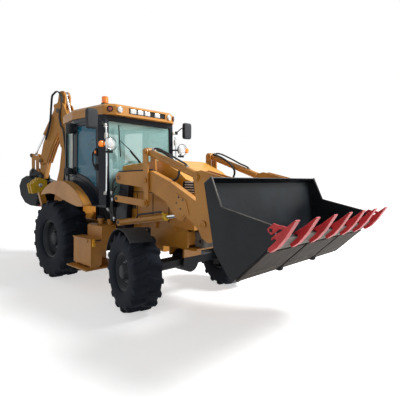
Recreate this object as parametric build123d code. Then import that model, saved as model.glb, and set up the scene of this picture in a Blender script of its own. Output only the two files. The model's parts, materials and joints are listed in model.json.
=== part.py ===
from build123d import *
import math
import os

os.makedirs("parts", exist_ok=True)

# Driving sizes of the machine, in millimetres.
# X runs forward from the rear axle, Y to the machine's left, Z up from the ground.
WHEELBASE = 2250
ORIGIN_X = 1020
FRONT_TRACK = 1800
REAR_TRACK = 1650
FRONT_TYRE_R = 511
FRONT_TYRE_W = 390
FRONT_RIM_R = 240
REAR_TYRE_R = 652
REAR_TYRE_W = 463
REAR_RIM_R = 310
TYRE_BARS = 24
TYRE_BAR_H = 38
KINGPIN_Y = 840
KINGPIN_R = 30
STEER_REST = -13
SHEET = 12
FIT = 0.05
SEAT_GAP = 0.3
RUN_GAP = 6

# Frame
RAIL_Y = 385
RAIL_T = 30
AXLE_TUBE_R = 95
HOOD_HALF = 450
TOWER_Y = 515
TOWER_T = 90

# Loader linkage, as (x, z) places of its pins
ARM_Y = 620
ARM_T = 90
CHEEK_GAP = 55
PLATE_T = 22
PIN_R = 28
LINK_T = 22
LINK_GAP = 3
LINK_PIN_R = 24
ARM_PIVOT = (1525, 1700)
LEVER_PIVOT = (2197, 1667)
LEVER_TOP = (2185, 2050)
LEVER_LOW = (2220, 1366)
LINK_REAR = (ARM_PIVOT[0] + LEVER_LOW[0] - LEVER_PIVOT[0], ARM_PIVOT[1] + LEVER_LOW[1] - LEVER_PIVOT[1])
TILT_PIN = (3151, 1717)
BUCKET_PIN = (3270, 1185)
LIFT_REAR = (1500, 1040)
LIFT_FRONT = (2817, 1247)
LIFT_BARREL_R = 45
LIFT_ROD_R = 24
LIFT_SHOWN = 278
LIFT_ROD_L = 1100
TILT_BARREL_R = 46
TILT_ROD_R = 25
TILT_SHOWN = 92
TILT_ROD_L = 890
BORE_GAP = 0.7

# Loader bucket
BUCKET_W = 2117
BUCKET_SIDE_T = 25
BUCKET_SHEET = 20
TOOTH_COUNT = 7
TOOTH_PITCH = 352
TOOTH_W = 76
BACK_TOP = (3611, 1658)
BACK_LOW = (3747, 1012)
HEEL = (3849, 883)
FLOOR_REAR = (3970, 740)
FLOOR_FRONT = (4455, 1202)

# Cab
CAB_HALF = 750
CAB_REAR_HALF = 610
CAB_FLOOR = 1280
CAB_ROOF = 2665
CAB_WALL = 50
CAB_FRONT = 1225
CAB_REAR = -300
GLASS_T = 6
DOOR_SILL = 1375
HINGE = (353, 764)
HINGE_Z = (1790, 2480)

# Backhoe, in its own upright plane: (s, z) with s measured back from the kingpost
KINGPOST_X = -1350
SWING_REST = 19
BOOM_FOOT = (220, 820)
STICK_PIVOT = (215, 3120)
STICK_TAIL = (120, 3470)
STICK_TIP = (760, 1700)
ROCKER_PIVOT = (767, 2057)
ROCKER_END = (1050, 2180)
BUCKET_LINK = (1040, 1830)
CURL_TOP = (360, 3240)
BOOM_CYL_LOW = (-20, 1130)
BOOM_CYL_TOP = (-160, 1880)
DIPPER_CYL_LOW = (-360, 2000)
BOOM_HALF = 110
STICK_HALF = 85
STICK_TIP_HALF = 60
HOE_BUCKET_W = 560
HOE_PIN_R = 25
EAR_Y = 66
EYE_GAP = 8
EYE_HALF = 32
FORK_HALF = 45
HOE_BARREL_R = 42
HOE_ROD_R = 25
CAP_Z = 1068

# Stabilisers
LEG_X = -950
LEG_PIVOT = (600, 760)
LEG_FOOT = (830, 1540)


def profile(points, y, thick, radius=0):
    """A plate cut to an outline of (x, z) points, with its middle at y."""
    if radius:
        outline = FilletPolyline(*points, radius=radius, close=True)
    else:
        outline = Polyline(*points, close=True)
    return extrude(Plane.XZ.offset(-y) * make_face(outline), thick / 2, both=True)


def slab(x, y, z):
    """A box between two values along each axis."""
    middle = Pos((x[0] + x[1]) / 2, (y[0] + y[1]) / 2, (z[0] + z[1]) / 2)
    return middle * Box(abs(x[1] - x[0]), abs(y[1] - y[0]), abs(z[1] - z[0]))


def bar(start, end, radius):
    """A round bar from one point to another."""
    along = Vector(end) - Vector(start)
    return Part() + Solid.make_cylinder(radius, along.length, Plane(origin=start, z_dir=along))


def cross_bar(place, y0, y1, radius):
    """A round bar across the machine at an (x, z) place."""
    return bar((place[0], y0, place[1]), (place[0], y1, place[1]), radius)


def towards(start, end, distance):
    """The (x, z) point that lies a distance from start, towards end."""
    run = math.hypot(end[0] - start[0], end[1] - start[1])
    share = distance / run
    return (start[0] + (end[0] - start[0]) * share, start[1] + (end[1] - start[1]) * share)


def link(first, second, radius1, radius2, y, thick):
    """A flat link with round ends about two (x, z) places."""
    circles = Pos(*first) * Circle(radius1).edge() + Pos(*second) * Circle(radius2).edge()
    outline = make_hull(circles.edges())
    return extrude(Plane.XZ.offset(-y) * outline, thick / 2, both=True)


def both_sides(shape):
    """The shape and its mirror image on the other side of the machine."""
    return shape + mirror(shape, about=Plane.XZ)


def turned(shape, place, angle):
    """The shape turned about an upright line through (x, y)."""
    return Pos(place[0], place[1], 0) * Rot(0, 0, angle) * Pos(-place[0], -place[1], 0) * shape


def ram_barrel(base, tip, length, radius, eye_radius, eye_width, bore, y=0):
    """A cylinder barrel with its eye at base, open towards tip for the rod."""
    inner = towards(base, tip, eye_radius - 4)
    mouth = towards(base, tip, length)
    body = bar((inner[0], y, inner[1]), (mouth[0], y, mouth[1]), radius)
    body += cross_bar(base, y - eye_width / 2, y + eye_width / 2, eye_radius)
    floor = towards(base, tip, eye_radius + 40)
    over = towards(base, tip, length + 10)
    return body - bar((floor[0], y, floor[1]), (over[0], y, over[1]), bore)


def ram_rod(base, tip, stroke, radius, eye_radius, eye_width, y=0):
    """A cylinder rod with its eye at tip, long enough for the stroke inside the barrel."""
    start = towards(tip, base, stroke)
    end = towards(tip, base, eye_radius - 4)
    rod = bar((start[0], y, start[1]), (end[0], y, end[1]), radius)
    return rod + cross_bar(tip, y - eye_width / 2, y + eye_width / 2, eye_radius)


def hoe(shape):
    """Puts a shape built in the backhoe's own plane at its place, swung as it parks."""
    return turned(shape, (KINGPOST_X, 0), SWING_REST)


def at(place):
    """The machine (x, z) of a backhoe (s, z), before the swing."""
    return (KINGPOST_X - place[0], place[1])


def save(node, shape):
    """Writes one sub-part, moved so that the origin lies under the middle of the machine."""
    export_step(Pos(-ORIGIN_X, 0, 0) * shape, f"parts/{node}.step")


# Main frame: two side rails over the front axle, with their cross pieces
rail_outline = [
    (-1060, 520), (-1060, 960), (300, 960), (1250, 1060), (2050, 1100), (2710, 1030),
    (2710, 790), (1960, 750), (1840, 920), (1480, 920), (1300, 640), (900, 540),
]
rails = both_sides(profile(rail_outline, RAIL_Y, RAIL_T, radius=40))
rail_in = RAIL_Y - RAIL_T / 2
frame = rails + slab((2670, 2700), (-rail_in, rail_in), (830, 1000))
frame += slab((1960, 2540), (-rail_in, rail_in), (790, 830))
frame += slab((-1000, -960), (-rail_in, rail_in), (560, 940))
frame += slab((300, 1200), (-rail_in, rail_in), (900, 940))
for saddle_x in (2090, 2380):
    frame += slab((saddle_x, saddle_x + 30), (-170, 170), (590, 790))
frame += slab((2040, 2090), (-120, 120), (760, 790))
frame -= cross_bar((0, REAR_TYRE_R), -RAIL_Y - 60, RAIL_Y + 60, AXLE_TUBE_R + SEAT_GAP)
frame -= slab((-AXLE_TUBE_R - SEAT_GAP, AXLE_TUBE_R + SEAT_GAP), (-RAIL_Y - 60, RAIL_Y + 60),
              (480, REAR_TYRE_R))
belly = profile([(2500, 760), (2500, 790), (2820, 790), (2820, 770), (2780, 760)], 0, 2 * 340)
save("main_frame", frame + belly)

# Loader tower: the posts that carry the arm pivots and the lift cylinders
tower_outline = [
    (1290, 1000), (1300, 1150), (1400, 1560), (1440, 1790), (1590, 1790), (1625, 1690),
    (1600, 1300), (1560, 1000),
]
tower = profile(tower_outline, TOWER_Y, TOWER_T, radius=30)
tower_out = TOWER_Y + TOWER_T / 2
tower_in = TOWER_Y - TOWER_T / 2
tower += slab((1300, 1540), (RAIL_Y + RAIL_T / 2, tower_out), (930, 1010))
tower += cross_bar(ARM_PIVOT, tower_out, ARM_Y + ARM_T / 2 + 12, PIN_R)
link_out = ARM_Y + CHEEK_GAP + PLATE_T + LINK_GAP + LINK_T
tower += cross_bar(LINK_REAR, tower_out, link_out + 8, LINK_PIN_R)
tower += cross_bar(LIFT_REAR, tower_out, ARM_Y + 42, LINK_PIN_R)
save("loader_tower", both_sides(tower))

# Front axle beam with its centre housing and the forks that hold the steering knuckles
axle_z = FRONT_TYRE_R
beam_end = 745
front_axle = profile([(WHEELBASE - 75, axle_z - 70), (WHEELBASE + 75, axle_z - 70),
                      (WHEELBASE + 75, axle_z + 70), (WHEELBASE - 75, axle_z + 70)], 0, 2 * beam_end)
front_axle = chamfer(front_axle.edges().filter_by(Axis.Y), 25)
front_axle += bar((WHEELBASE - 130, 0, axle_z), (WHEELBASE + 130, 0, axle_z), 150)
front_axle += slab((WHEELBASE - 125, WHEELBASE + 125), (-60, 60), (axle_z + 60, axle_z + 130))
fork_reach = KINGPIN_Y + 50
for fork_z in (axle_z - 170, axle_z + 130):
    fork = slab((WHEELBASE - 60, WHEELBASE + 60), (beam_end - 60, fork_reach), (fork_z, fork_z + 40))
    front_axle += both_sides(fork)
web = slab((WHEELBASE - 60, WHEELBASE + 60), (beam_end - 60, beam_end), (axle_z - 170, axle_z + 170))
front_axle += both_sides(web)
kingpin_hole = bar((WHEELBASE, KINGPIN_Y, axle_z - 200), (WHEELBASE, KINGPIN_Y, axle_z + 200),
                   KINGPIN_R + FIT)
front_axle -= both_sides(kingpin_hole)
save("front_axle", front_axle)

# Rear axle housing
rear_z = REAR_TYRE_R
hub_y = REAR_TRACK / 2 - 110
rear_axle = bar((0, -hub_y, rear_z), (0, hub_y, rear_z), AXLE_TUBE_R)
rear_axle += bar((-190, 0, rear_z), (190, 0, rear_z), 185)
for side in (-1, 1):
    rear_axle += bar((0, side * (hub_y - 90), rear_z), (0, side * hub_y, rear_z), 165)
    rear_axle += bar((0, side * hub_y, rear_z), (0, side * (REAR_TRACK / 2 + 40 - 8 - SEAT_GAP), rear_z),
                     105)
save("rear_axle", rear_axle)


def tyre(radius, width, rim_radius, sides):
    """A tyre about the Y axis at the origin: a faceted carcass with bar lugs set at an angle."""
    carcass_r = radius - TYRE_BAR_H
    half = width / 2
    # columns: share of the half width, share of the carcass radius
    section = [(1.0, 0.80), (0.93, 0.95), (0.62, 1.0)]
    rings = []
    for share, grow in section:
        rings.append((share * half, grow * carcass_r))
    levels = [(-y, r) for y, r in rings] + [(y, r) for y, r in reversed(rings)]
    body = None
    shoulder = (half, rim_radius + 30)
    stations = [(-half * 0.86, shoulder[1])] + levels + [(half * 0.86, shoulder[1])]
    for (y0, r0), (y1, r1) in zip(stations, stations[1:]):
        if abs(y1 - y0) < 0.01:
            continue
        faces = [Plane.XZ.offset(-y0) * RegularPolygon(r0, sides),
                 Plane.XZ.offset(-y1) * RegularPolygon(r1, sides)]
        piece = loft(faces, ruled=True)
        body = piece if body is None else body + piece
    lug_in = carcass_r * math.cos(math.pi / sides) - 12
    pieces = []
    for i in range(sides):
        side = 1 if i % 2 else -1
        turn = 360 * i / sides
        plan = Polyline((-26, side * 4), (-78, side * half * 0.93), (-12, side * half * 0.93),
                        (26, side * 4),
                        close=True)
        lug = extrude(Pos(0, 0, lug_in) * make_face(plan), radius - lug_in)
        crown_line = Polyline((-half, lug_in - 5), (-half, radius - TYRE_BAR_H), (-half * 0.72, radius),
                              (half * 0.72, radius), (half, radius - TYRE_BAR_H), (half, lug_in - 5),
                              close=True)
        lug = lug & extrude(Plane.YZ.offset(-120) * make_face(crown_line), 240)
        pieces.append(Rot(0, turn, 0) * lug)
    body = body.fuse(*pieces)
    return body - bar((0, -half - 5, 0), (0, half + 5, 0), rim_radius)


def rim(radius, width, disc_y, hub_radius, hub_length):
    """A wheel rim about the Y axis: a flanged barrel, a dished disc and the hub in its middle."""
    half = width / 2
    barrel_r = radius - SEAT_GAP
    body = bar((0, -half * 0.8, 0), (0, half * 0.8, 0), barrel_r)
    body -= bar((0, -half, 0), (0, half, 0), barrel_r - 16)
    body += bar((0, disc_y - 8, 0), (0, disc_y + 8, 0), barrel_r - 10)
    body += bar((0, disc_y + 8, 0), (0, disc_y + hub_length, 0), hub_radius)
    for i in range(6):
        turn = math.radians(60 * i)
        place = ((hub_radius + 26) * math.cos(turn), (hub_radius + 26) * math.sin(turn))
        body += cross_bar(place, disc_y + 6, disc_y + 30, 10)
    return body


def around_wheel(radius, angle):
    """The (x, z) place at a radius and an angle in degrees about the front axle."""
    turn = math.radians(angle)
    return (WHEELBASE + radius * math.cos(turn), FRONT_TYRE_R + radius * math.sin(turn))


def upright(side, low, high, radius):
    """A round bar about a kingpin, between two heights over the axle."""
    return bar((WHEELBASE, side * KINGPIN_Y, FRONT_TYRE_R + low),
               (WHEELBASE, side * KINGPIN_Y, FRONT_TYRE_R + high), radius)


# Wheels: each side's front wheel stands turned with the steering
front_wheel_y = FRONT_TRACK / 2
front_tyre = tyre(FRONT_TYRE_R, FRONT_TYRE_W, FRONT_RIM_R, TYRE_BARS)
rear_tyre = tyre(REAR_TYRE_R, REAR_TYRE_W, REAR_RIM_R, TYRE_BARS)
front_rim = rim(FRONT_RIM_R, FRONT_TYRE_W, 60, 95, 110)
rear_rim = rim(REAR_RIM_R, REAR_TYRE_W, 40, 120, 100)
for name, side in (("left", 1), ("right", -1)):
    flip = 0 if side > 0 else 180
    stand = Pos(WHEELBASE, side * front_wheel_y, FRONT_TYRE_R) * Rot(0, 0, flip)
    pin_place = (WHEELBASE, side * KINGPIN_Y)
    save(f"front_tyre_{name}", turned(stand * front_tyre, pin_place, STEER_REST))
    save(f"front_rim_{name}", turned(stand * front_rim, pin_place, STEER_REST))
    stand = Pos(0, side * REAR_TRACK / 2, REAR_TYRE_R) * Rot(0, 0, flip)
    save(f"rear_tyre_{name}", stand * rear_tyre)
    save(f"rear_rim_{name}", stand * rear_rim)

    # Steering knuckle: a housing about the kingpin, a spindle for the hub and the mudguard
    knuckle = upright(side, -130 + SEAT_GAP, 130 - SEAT_GAP, 62) + upright(side, -178, 184, KINGPIN_R)
    spindle_end = front_wheel_y + 60 - 8 - SEAT_GAP
    knuckle += bar((WHEELBASE, side * KINGPIN_Y, FRONT_TYRE_R),
                   (WHEELBASE, side * spindle_end, FRONT_TYRE_R), 60)
    guard_r = FRONT_TYRE_R + 24
    guard_y = (790, 1095)
    outer = [around_wheel(guard_r + SHEET, angle) for angle in (50, 105, 160)]
    inner = [around_wheel(guard_r, angle) for angle in (160, 105, 50)]
    edge = [ThreePointArc(*outer), Line(outer[2], inner[0]), ThreePointArc(*inner),
            Line(inner[2], outer[0])]
    guard_face = Plane.XZ.offset(-side * sum(guard_y) / 2) * make_face(Curve() + edge)
    guard = extrude(guard_face, (guard_y[1] - guard_y[0]) / 2, both=True)
    stay_x = (WHEELBASE - 40, WHEELBASE + 40)
    stay_y = front_wheel_y - FRONT_TYRE_W / 2 - 21
    stay_top = FRONT_TYRE_R + guard_r
    stay = slab(stay_x, (side * stay_y, side * (KINGPIN_Y + 40)), (FRONT_TYRE_R + 180, FRONT_TYRE_R + 192))
    stay += slab(stay_x, (side * stay_y, side * (stay_y + SHEET)), (FRONT_TYRE_R + 180, stay_top))
    stay += slab(stay_x, (side * stay_y, side * (KINGPIN_Y + 40)), (stay_top - SHEET, stay_top + 5))
    save(f"steering_knuckle_{name}", turned(knuckle + stay + guard, pin_place, STEER_REST))

# Engine, one plain block under the hood
engine_y = HOOD_HALF - 230
save("engine_block", slab((1420, 2420), (-engine_y, engine_y), (830 + SEAT_GAP, 1480)))

# Hood: a thin shell with a falling nose, its side panels below it and the louvres in the nose
hood_line = [(1300, 1500), (1300, 1890), (2190, 1955), (2560, 1800), (2720, 1690), (2900, 1640),
             (2900, 1450), (2700, 1500)]
hood = profile(hood_line, 0, 2 * HOOD_HALF)
hood = fillet(hood.faces().sort_by(Axis.Z)[-1].edges().filter_by(Axis.X, tolerance=20), 40)
hood_core = [(1290, 1480), (1290, 1878), (2186, 1943), (2554, 1788), (2714, 1678), (2888, 1628),
             (2888, 1440), (2700, 1480)]
hood -= profile(hood_core, 0, 2 * (HOOD_HALF - SHEET))
hood -= slab((2870, 2910), (-HOOD_HALF + 60, HOOD_HALF - 60), (1470, 1600))
save("hood", hood)
side_line = [(1330, 1060), (1330, 1500 - SEAT_GAP), (2700, 1500 - SEAT_GAP), (2880, 1455 - SEAT_GAP),
             (2880, 1050), (2720, 1045), (2050, 1110)]
panel = profile(side_line, HOOD_HALF - SHEET / 2, SHEET)
panel += slab((2868, 2880), (HOOD_HALF - 60, HOOD_HALF - SHEET), (1050, 1440))
for stay_x in (1640, 2040, 2450):
    panel += slab((stay_x, stay_x + 60), (rail_in, HOOD_HALF - SHEET), (1000, 1140)) - frame
save("hood_side_panels", both_sides(panel))
grille = slab((2850, 2868), (-HOOD_HALF + SHEET + SEAT_GAP, HOOD_HALF - SHEET - SEAT_GAP), (1060, 1430))
for i in range(5):
    blade = profile([(2850, 1458 + 30 * i), (2868, 1450 + 30 * i), (2868, 1462 + 30 * i),
                     (2850, 1470 + 30 * i)], 0, 2 * HOOD_HALF - 140)
    grille += blade
for side in (-1, 1):
    grille += slab((2850, 2868), (side * (HOOD_HALF - 70), side * (HOOD_HALF - 90)), (1430, 1590))
save("nose_grille", grille)

# Front weight block with its towing eye, and the plate below it
weight = slab((2700 + SEAT_GAP, 2860), (-250, 250), (800, 1000))
weight -= bar((2790, -260, 880), (2790, 260, 880), 27)
save("front_weight", weight)

# Right side: tank with its filler, toolbox with lid, step plate; left side: long tank and battery box
tank_y = (RAIL_Y + RAIL_T / 2 + SEAT_GAP, 800)
tank = slab((870, 1290), (-tank_y[1], -tank_y[0]), (600, 975))
tank = fillet(tank.edges().filter_by(Axis.X), 25)
tank += bar((1000, -640, 975), (1000, -640, 1030), 45)
tank += bar((1000, -640, 1030), (1000, -640, 1060), 58)
tank += bar((1190, -600, 975), (1190, -600, 1030), 40)
save("right_tank", tank)
step = slab((700, 1300), (-1060, -tank_y[0]), (340, 360))
step += slab((740, 770), (-600, -tank_y[0]), (360, 600))
toolbox = slab((770, 1290), (-980, -tank_y[1] - SEAT_GAP), (400, 780))
toolbox -= slab((780, 1280), (-970, -tank_y[1] - SEAT_GAP - 10), (410, 790))
toolbox += slab((790, 830), (-960, -820), (360, 400)) + slab((1230, 1270), (-960, -820), (360, 400))
save("toolbox", toolbox + step)
lid = slab((760, 1300), (-990, -tank_y[1] - SEAT_GAP), (780 + SEAT_GAP, 795))
lid += slab((1180, 1210), (-996, -990), (740, 795))
save("toolbox_lid", lid)
left_box = slab((820, 1290), (tank_y[0], 900), (420, 925))
left_box = chamfer(left_box.edges().filter_by(Axis.X), 30)
left_box += slab((700, 830), (tank_y[0], 1000), (420, 440)) + slab((700, 715), (tank_y[0], 960), (440, 640))
save("left_tank", left_box)

# Cab: a shell with its windows cut, standing on the floor pan
plan_low = [(CAB_FRONT, -690), (CAB_FRONT, 690), (1120, CAB_HALF), (290, CAB_HALF),
            (CAB_REAR, CAB_REAR_HALF),
            (CAB_REAR, -CAB_REAR_HALF), (290, -CAB_HALF), (1120, -CAB_HALF)]


def cab_ring(inset, z, lean):
    """The cab's plan outline, drawn in by an inset, with the front leaning back by a distance."""
    points = []
    for x, y in plan_low:
        front = x > 1000
        dx = (-inset - lean) if front else (inset if x < 0 else 0)
        points.append((x + dx, y - math.copysign(inset, y)))
    return Plane.XY.offset(z) * make_face(Polyline(*points, close=True))


lean = 50
cab = loft([cab_ring(0, CAB_FLOOR, 0), cab_ring(0, CAB_ROOF, lean)], ruled=True)
cab -= loft([cab_ring(CAB_WALL, CAB_FLOOR - 20, 0), cab_ring(CAB_WALL, CAB_ROOF + 20, lean)], ruled=True)
arch_r = 760
arch_c = (300, 880)
arch = cross_bar(arch_c, -1200, 1200, arch_r + SHEET + SEAT_GAP)
cab -= arch
cab -= slab((-500, 0), (-1200, 1200), (1200, 1610))
windscreen = profile([(1100, 1360), (1100, 2590), (1400, 2590), (1400, 1360)], 0, 2 * 630)
cab -= windscreen
rear_window = slab((CAB_REAR - 60, CAB_REAR + 90), (-530, 530), (1700, 2590))
cab -= rear_window
door_line = [(1100, DOOR_SILL), (1075, 2600), (350, 2600), (350, 1720), (700, 1635), (960, 1495),
             (1045, 1400), (1047, DOOR_SILL)]
quarter_line = [(280, 1720), (280, 2600), (-230, 2600), (-230, 1720)]
for line in (door_line, quarter_line):
    cab -= profile(line, 0, 3000)
for z in HINGE_Z:
    for low in (z - 20 - SEAT_GAP, z + 60 + SEAT_GAP):
        hinge_half = bar((HINGE[0], HINGE[1], low), (HINGE[0], HINGE[1], low + 20), 12)
        hinge_half += slab((HINGE[0] - 40, HINGE[0]), (CAB_HALF - 5, HINGE[1] + 12), (low, low + 20))
        cab += both_sides(hinge_half)
save("cab_frame", cab)

door_gap = [(1100 - RUN_GAP, DOOR_SILL + RUN_GAP), (1075 - RUN_GAP, 2600 - RUN_GAP),
            (350 + RUN_GAP, 2600 - RUN_GAP), (350 + RUN_GAP, 1727), (703, 1642), (964, 1502), (1051, 1404),
            (1053, DOOR_SILL + RUN_GAP)]
door_hole = [(1046, 1500), (1022, 2545), (405, 2545), (405, 1775), (735, 1690), (985, 1556), (1030, 1500)]
for name, side in (("left", 1), ("right", -1)):
    leaf = profile(door_gap, side * (CAB_HALF - 20), 40) - profile(door_hole, side * (CAB_HALF - 20), 60)
    leaf += slab((1040, 1078), (side * (CAB_HALF - 5), side * (CAB_HALF + 22)), (1850, 1960))
    for z in HINGE_Z:
        leaf += bar((HINGE[0], side * HINGE[1], z), (HINGE[0], side * HINGE[1], z + 60), 12)
        leaf += slab((HINGE[0], HINGE[0] + 40), (side * (CAB_HALF - 5), side * (HINGE[1] + 12)),
                     (z, z + 60))
    leaf += profile(door_hole, side * (CAB_HALF - 20), GLASS_T)
    save(f"door_{name}", leaf)

# Fixed glass: windscreen, rear window and the two rear side panes
screen_low = CAB_FRONT - 30
screen_shift = lean * (2590 - 1360) / (CAB_ROOF - CAB_FLOOR)
screen_base = screen_low - lean * (1360 - CAB_FLOOR) / (CAB_ROOF - CAB_FLOOR)
glass = profile([(screen_base, 1360), (screen_base - screen_shift, 2590),
                 (screen_base - screen_shift + GLASS_T, 2590),
                 (screen_base + GLASS_T, 1360)], 0, 2 * 630)
glass += slab((CAB_REAR + 20, CAB_REAR + 20 + GLASS_T), (-530, 530), (1700, 2590))
for side in (-1, 1):
    y_front = side * (CAB_HALF - 20 - (290 - 280) * 140 / 590)
    y_rear = side * (CAB_HALF - 20 - (290 + 230) * 140 / 590)
    pane = make_face(Polyline((280, y_front), (-230, y_rear), (-230, y_rear - side * GLASS_T),
                              (280, y_front - side * GLASS_T), close=True))
    glass += extrude(Plane.XY.offset(1720) * pane, 880, dir=(0, 0, 1))
save("cab_glass", glass)

# Cab floor pan with the deck over the rear axle
pan = profile([(1220, 1240), (1220, CAB_FLOOR - SEAT_GAP), (790, CAB_FLOOR - SEAT_GAP), (560, 1240)], 0,
              2 * 690)
pan += profile([(700, 1240), (700, 1290), (500, 1420), (CAB_REAR + 60, 1420), (CAB_REAR + 60, 1380),
                (480, 1380), (640, 1240)], 0, 2 * 540)
for mount_x, mount_top in ((-220, 1380), (420, 1380), (1080, 1240)):
    pan += both_sides(slab((mount_x, mount_x + 80), (RAIL_Y - 45, RAIL_Y + RAIL_T / 2), (900, mount_top)))
pan -= frame
console = slab((1000, 1140), (-300, 300), (CAB_FLOOR - 20, 1700)) + bar((1010, 0, 1690), (880, 0, 1850), 40)
wheel_plane = Plane(origin=(880, 0, 1850), z_dir=(-130, 0, 160))
wheel_ring = wheel_plane * RegularPolygon(195, 20) - wheel_plane * RegularPolygon(168, 20)
steering = extrude(wheel_ring, 24) + extrude(wheel_plane * (Rectangle(380, 40) & RegularPolygon(194, 20)),
                                             12)
save("cab_floor", pan + console + steering)

# Roof: a shallow box with rounded corners that overhangs the front, and the lamp recess
roof_plan = [(1290, -560), (1290, 560), (1180, 720), (300, 780), (CAB_REAR - 60, 640),
             (CAB_REAR - 60, -640), (300, -780), (1180, -720)]
roof = extrude(Plane.XY.offset(CAB_ROOF + SEAT_GAP) * make_face(FilletPolyline(*roof_plan, radius=60,
                                                                               close=True)), 170)
roof = chamfer(roof.faces().sort_by(Axis.Z)[-1].edges(), 40)
roof -= slab((1265, 1300), (-330, 420), (CAB_ROOF + 40, CAB_ROOF + 130))
save("cab_roof", roof)

# Lamps: four roof work lamps, two round roof lamps, two rear ones and the beacon
lamps = None
for lamp_y in (-240, -100, 40, 250):
    lamp = slab((1265 + SEAT_GAP, 1286), (lamp_y - 58, lamp_y + 58), (CAB_ROOF + 50, CAB_ROOF + 120))
    lamps = lamp if lamps is None else lamps + lamp
for lamp_y in (-500, 500):
    lamps += bar((1290 + SEAT_GAP, lamp_y, CAB_ROOF + 85), (1310, lamp_y, CAB_ROOF + 85), 42)
for lamp_y in (-420, 420):
    lamps += slab((CAB_REAR - 84, CAB_REAR - 60 - SEAT_GAP), (lamp_y - 70, lamp_y + 70),
                  (CAB_ROOF + 30, CAB_ROOF + 110))
beacon = bar((1030, -600, CAB_ROOF + 170 + 2 * SEAT_GAP), (1030, -600, CAB_ROOF + 200), 62)
beacon += bar((1030, -600, CAB_ROOF + 200), (1030, -600, CAB_ROOF + 310), 50)

# Head lamps on brackets from the front posts, each with an indicator beside it
head = bar((1330, 0, 2200), (1400, 0, 2200), 78) + bar((1290, 0, 2200), (1330, 0, 2200), 48)
head += bar((1330, 130, 2195), (1385, 130, 2195), 48)
head += slab((1290, 1330), (-20, 150), (2180, 2215))
head += slab((1230, 1300), (-60, -20), (2185, 2210)) + slab((1340, 1380), (-60, 60),
                                                            (2075, 2110)) + slab((1350, 1370), (-10, 10),
                                                                                 (2100, 2130))
head_left = Pos(0, 730, 0) * head
lamp_post_x = CAB_FRONT - lean * (2185 - CAB_FLOOR) / (CAB_ROOF - CAB_FLOOR) + SEAT_GAP
head_left = head_left + slab((lamp_post_x, 1240), (640, 688), (2185, 2210))
save("lamps", lamps + beacon + both_sides(head_left))

# Mirrors on bent arms
fittings = []
for name, side in (("left", 1), ("right", -1)):
    arm = bar((1140, side * 690, 2480), (1260, side * 900, 2510), 11) + bar((1260, side * 900, 2510),
                                                                            (1260, side * 900, 2400), 11)
    glass_case = slab((1235, 1285), (side * 830, side * 970), (2400, 2680))
    glass_case = fillet(glass_case.edges().filter_by(Axis.X), 30)
    fittings.append(arm - cab + glass_case)

# Grab rails on the front posts
for name, side in (("left", 1), ("right", -1)):
    rail = bar((1255, side * 700, 1420), (1255, side * 700, 2060), 13)
    for z in (1440, 2040):
        rail += bar((1212 - (z - 1280) * 0.036, side * 680, z), (1255, side * 700, z), 11)
    fittings.append(rail - cab)
save("mirrors_and_rails", fittings[0] + fittings[1] + fittings[2] + fittings[3])

# Rear fenders: an arched sheet over each tyre with its inner wall
fender_outer = [(-430, 1400), (300, 1640), (1100, 1285)]
fender_inner = [(1092, 1272), (300, 1628), (-422, 1390)]
arc_edges = [ThreePointArc(*fender_outer), Line(fender_outer[2], fender_inner[0]),
             ThreePointArc(*fender_inner), Line(fender_inner[2], fender_outer[0])]
arched = make_face(Curve() + arc_edges)
fender_y = (556, 1000)
sheet = extrude(Plane.XZ.offset(-sum(fender_y) / 2) * arched, (fender_y[1] - fender_y[0]) / 2, both=True)
save("rear_fenders", both_sides(sheet - cab - pan))

# Driver's seat
seat = slab((180, 560), (-190, 190), (1420 + SEAT_GAP, 1560)) + slab((140, 640), (-250, 250), (1560, 1680))
seat += profile([(100, 1600), (190, 1600), (120, 2200), (40, 2190)], 0,
                460) + profile([(55, 2190), (120, 2200), (100, 2400), (40, 2390)], 0, 260)
save("seat", seat)

# Loader arms, each with its reinforced gusset, and the tube that joins them
arm_line = [
    (1446, 1622), (1446, 1778), (2270, 1796), (2662, 1655), (3121, 1435), (3330, 1275), (3365, 1185),
    (3330, 1095), (3225, 1062), (2981, 1228), (2934, 1256), (2850, 1180), (2785, 1200), (2564, 1415),
    (2164, 1566),
]
arm_radii = [74, 74, 60, 60, 60, 40, 40, 40, 40, 20, 20, 20, 20, 60, 60]
arm = profile(arm_line, ARM_Y, ARM_T, radius=arm_radii)
for place in (ARM_PIVOT, LEVER_PIVOT, BUCKET_PIN):
    arm -= cross_bar(place, ARM_Y - ARM_T, ARM_Y + ARM_T, PIN_R + FIT)
arm -= slab((2500, 2935), (ARM_Y - 25, ARM_Y + 25), (1050, 1385))
for side in (-1, 1):
    face = ARM_Y + side * ARM_T / 2
    arm += cross_bar(LIFT_FRONT, face, face + side * 10, 34)
gusset = profile([(2640, 1420), (2760, 1530), (2950, 1440), (3010, 1270), (2934, 1270), (2850, 1200),
                  (2790, 1215)],
                 ARM_Y + ARM_T / 2 + 4, 8, radius=18)
tube_place = (3105, 1205)
arms = both_sides(arm + gusset) + cross_bar(tube_place, -(ARM_Y - ARM_T / 2), ARM_Y - ARM_T / 2, 70)
save("loader_arms", arms)

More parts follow.
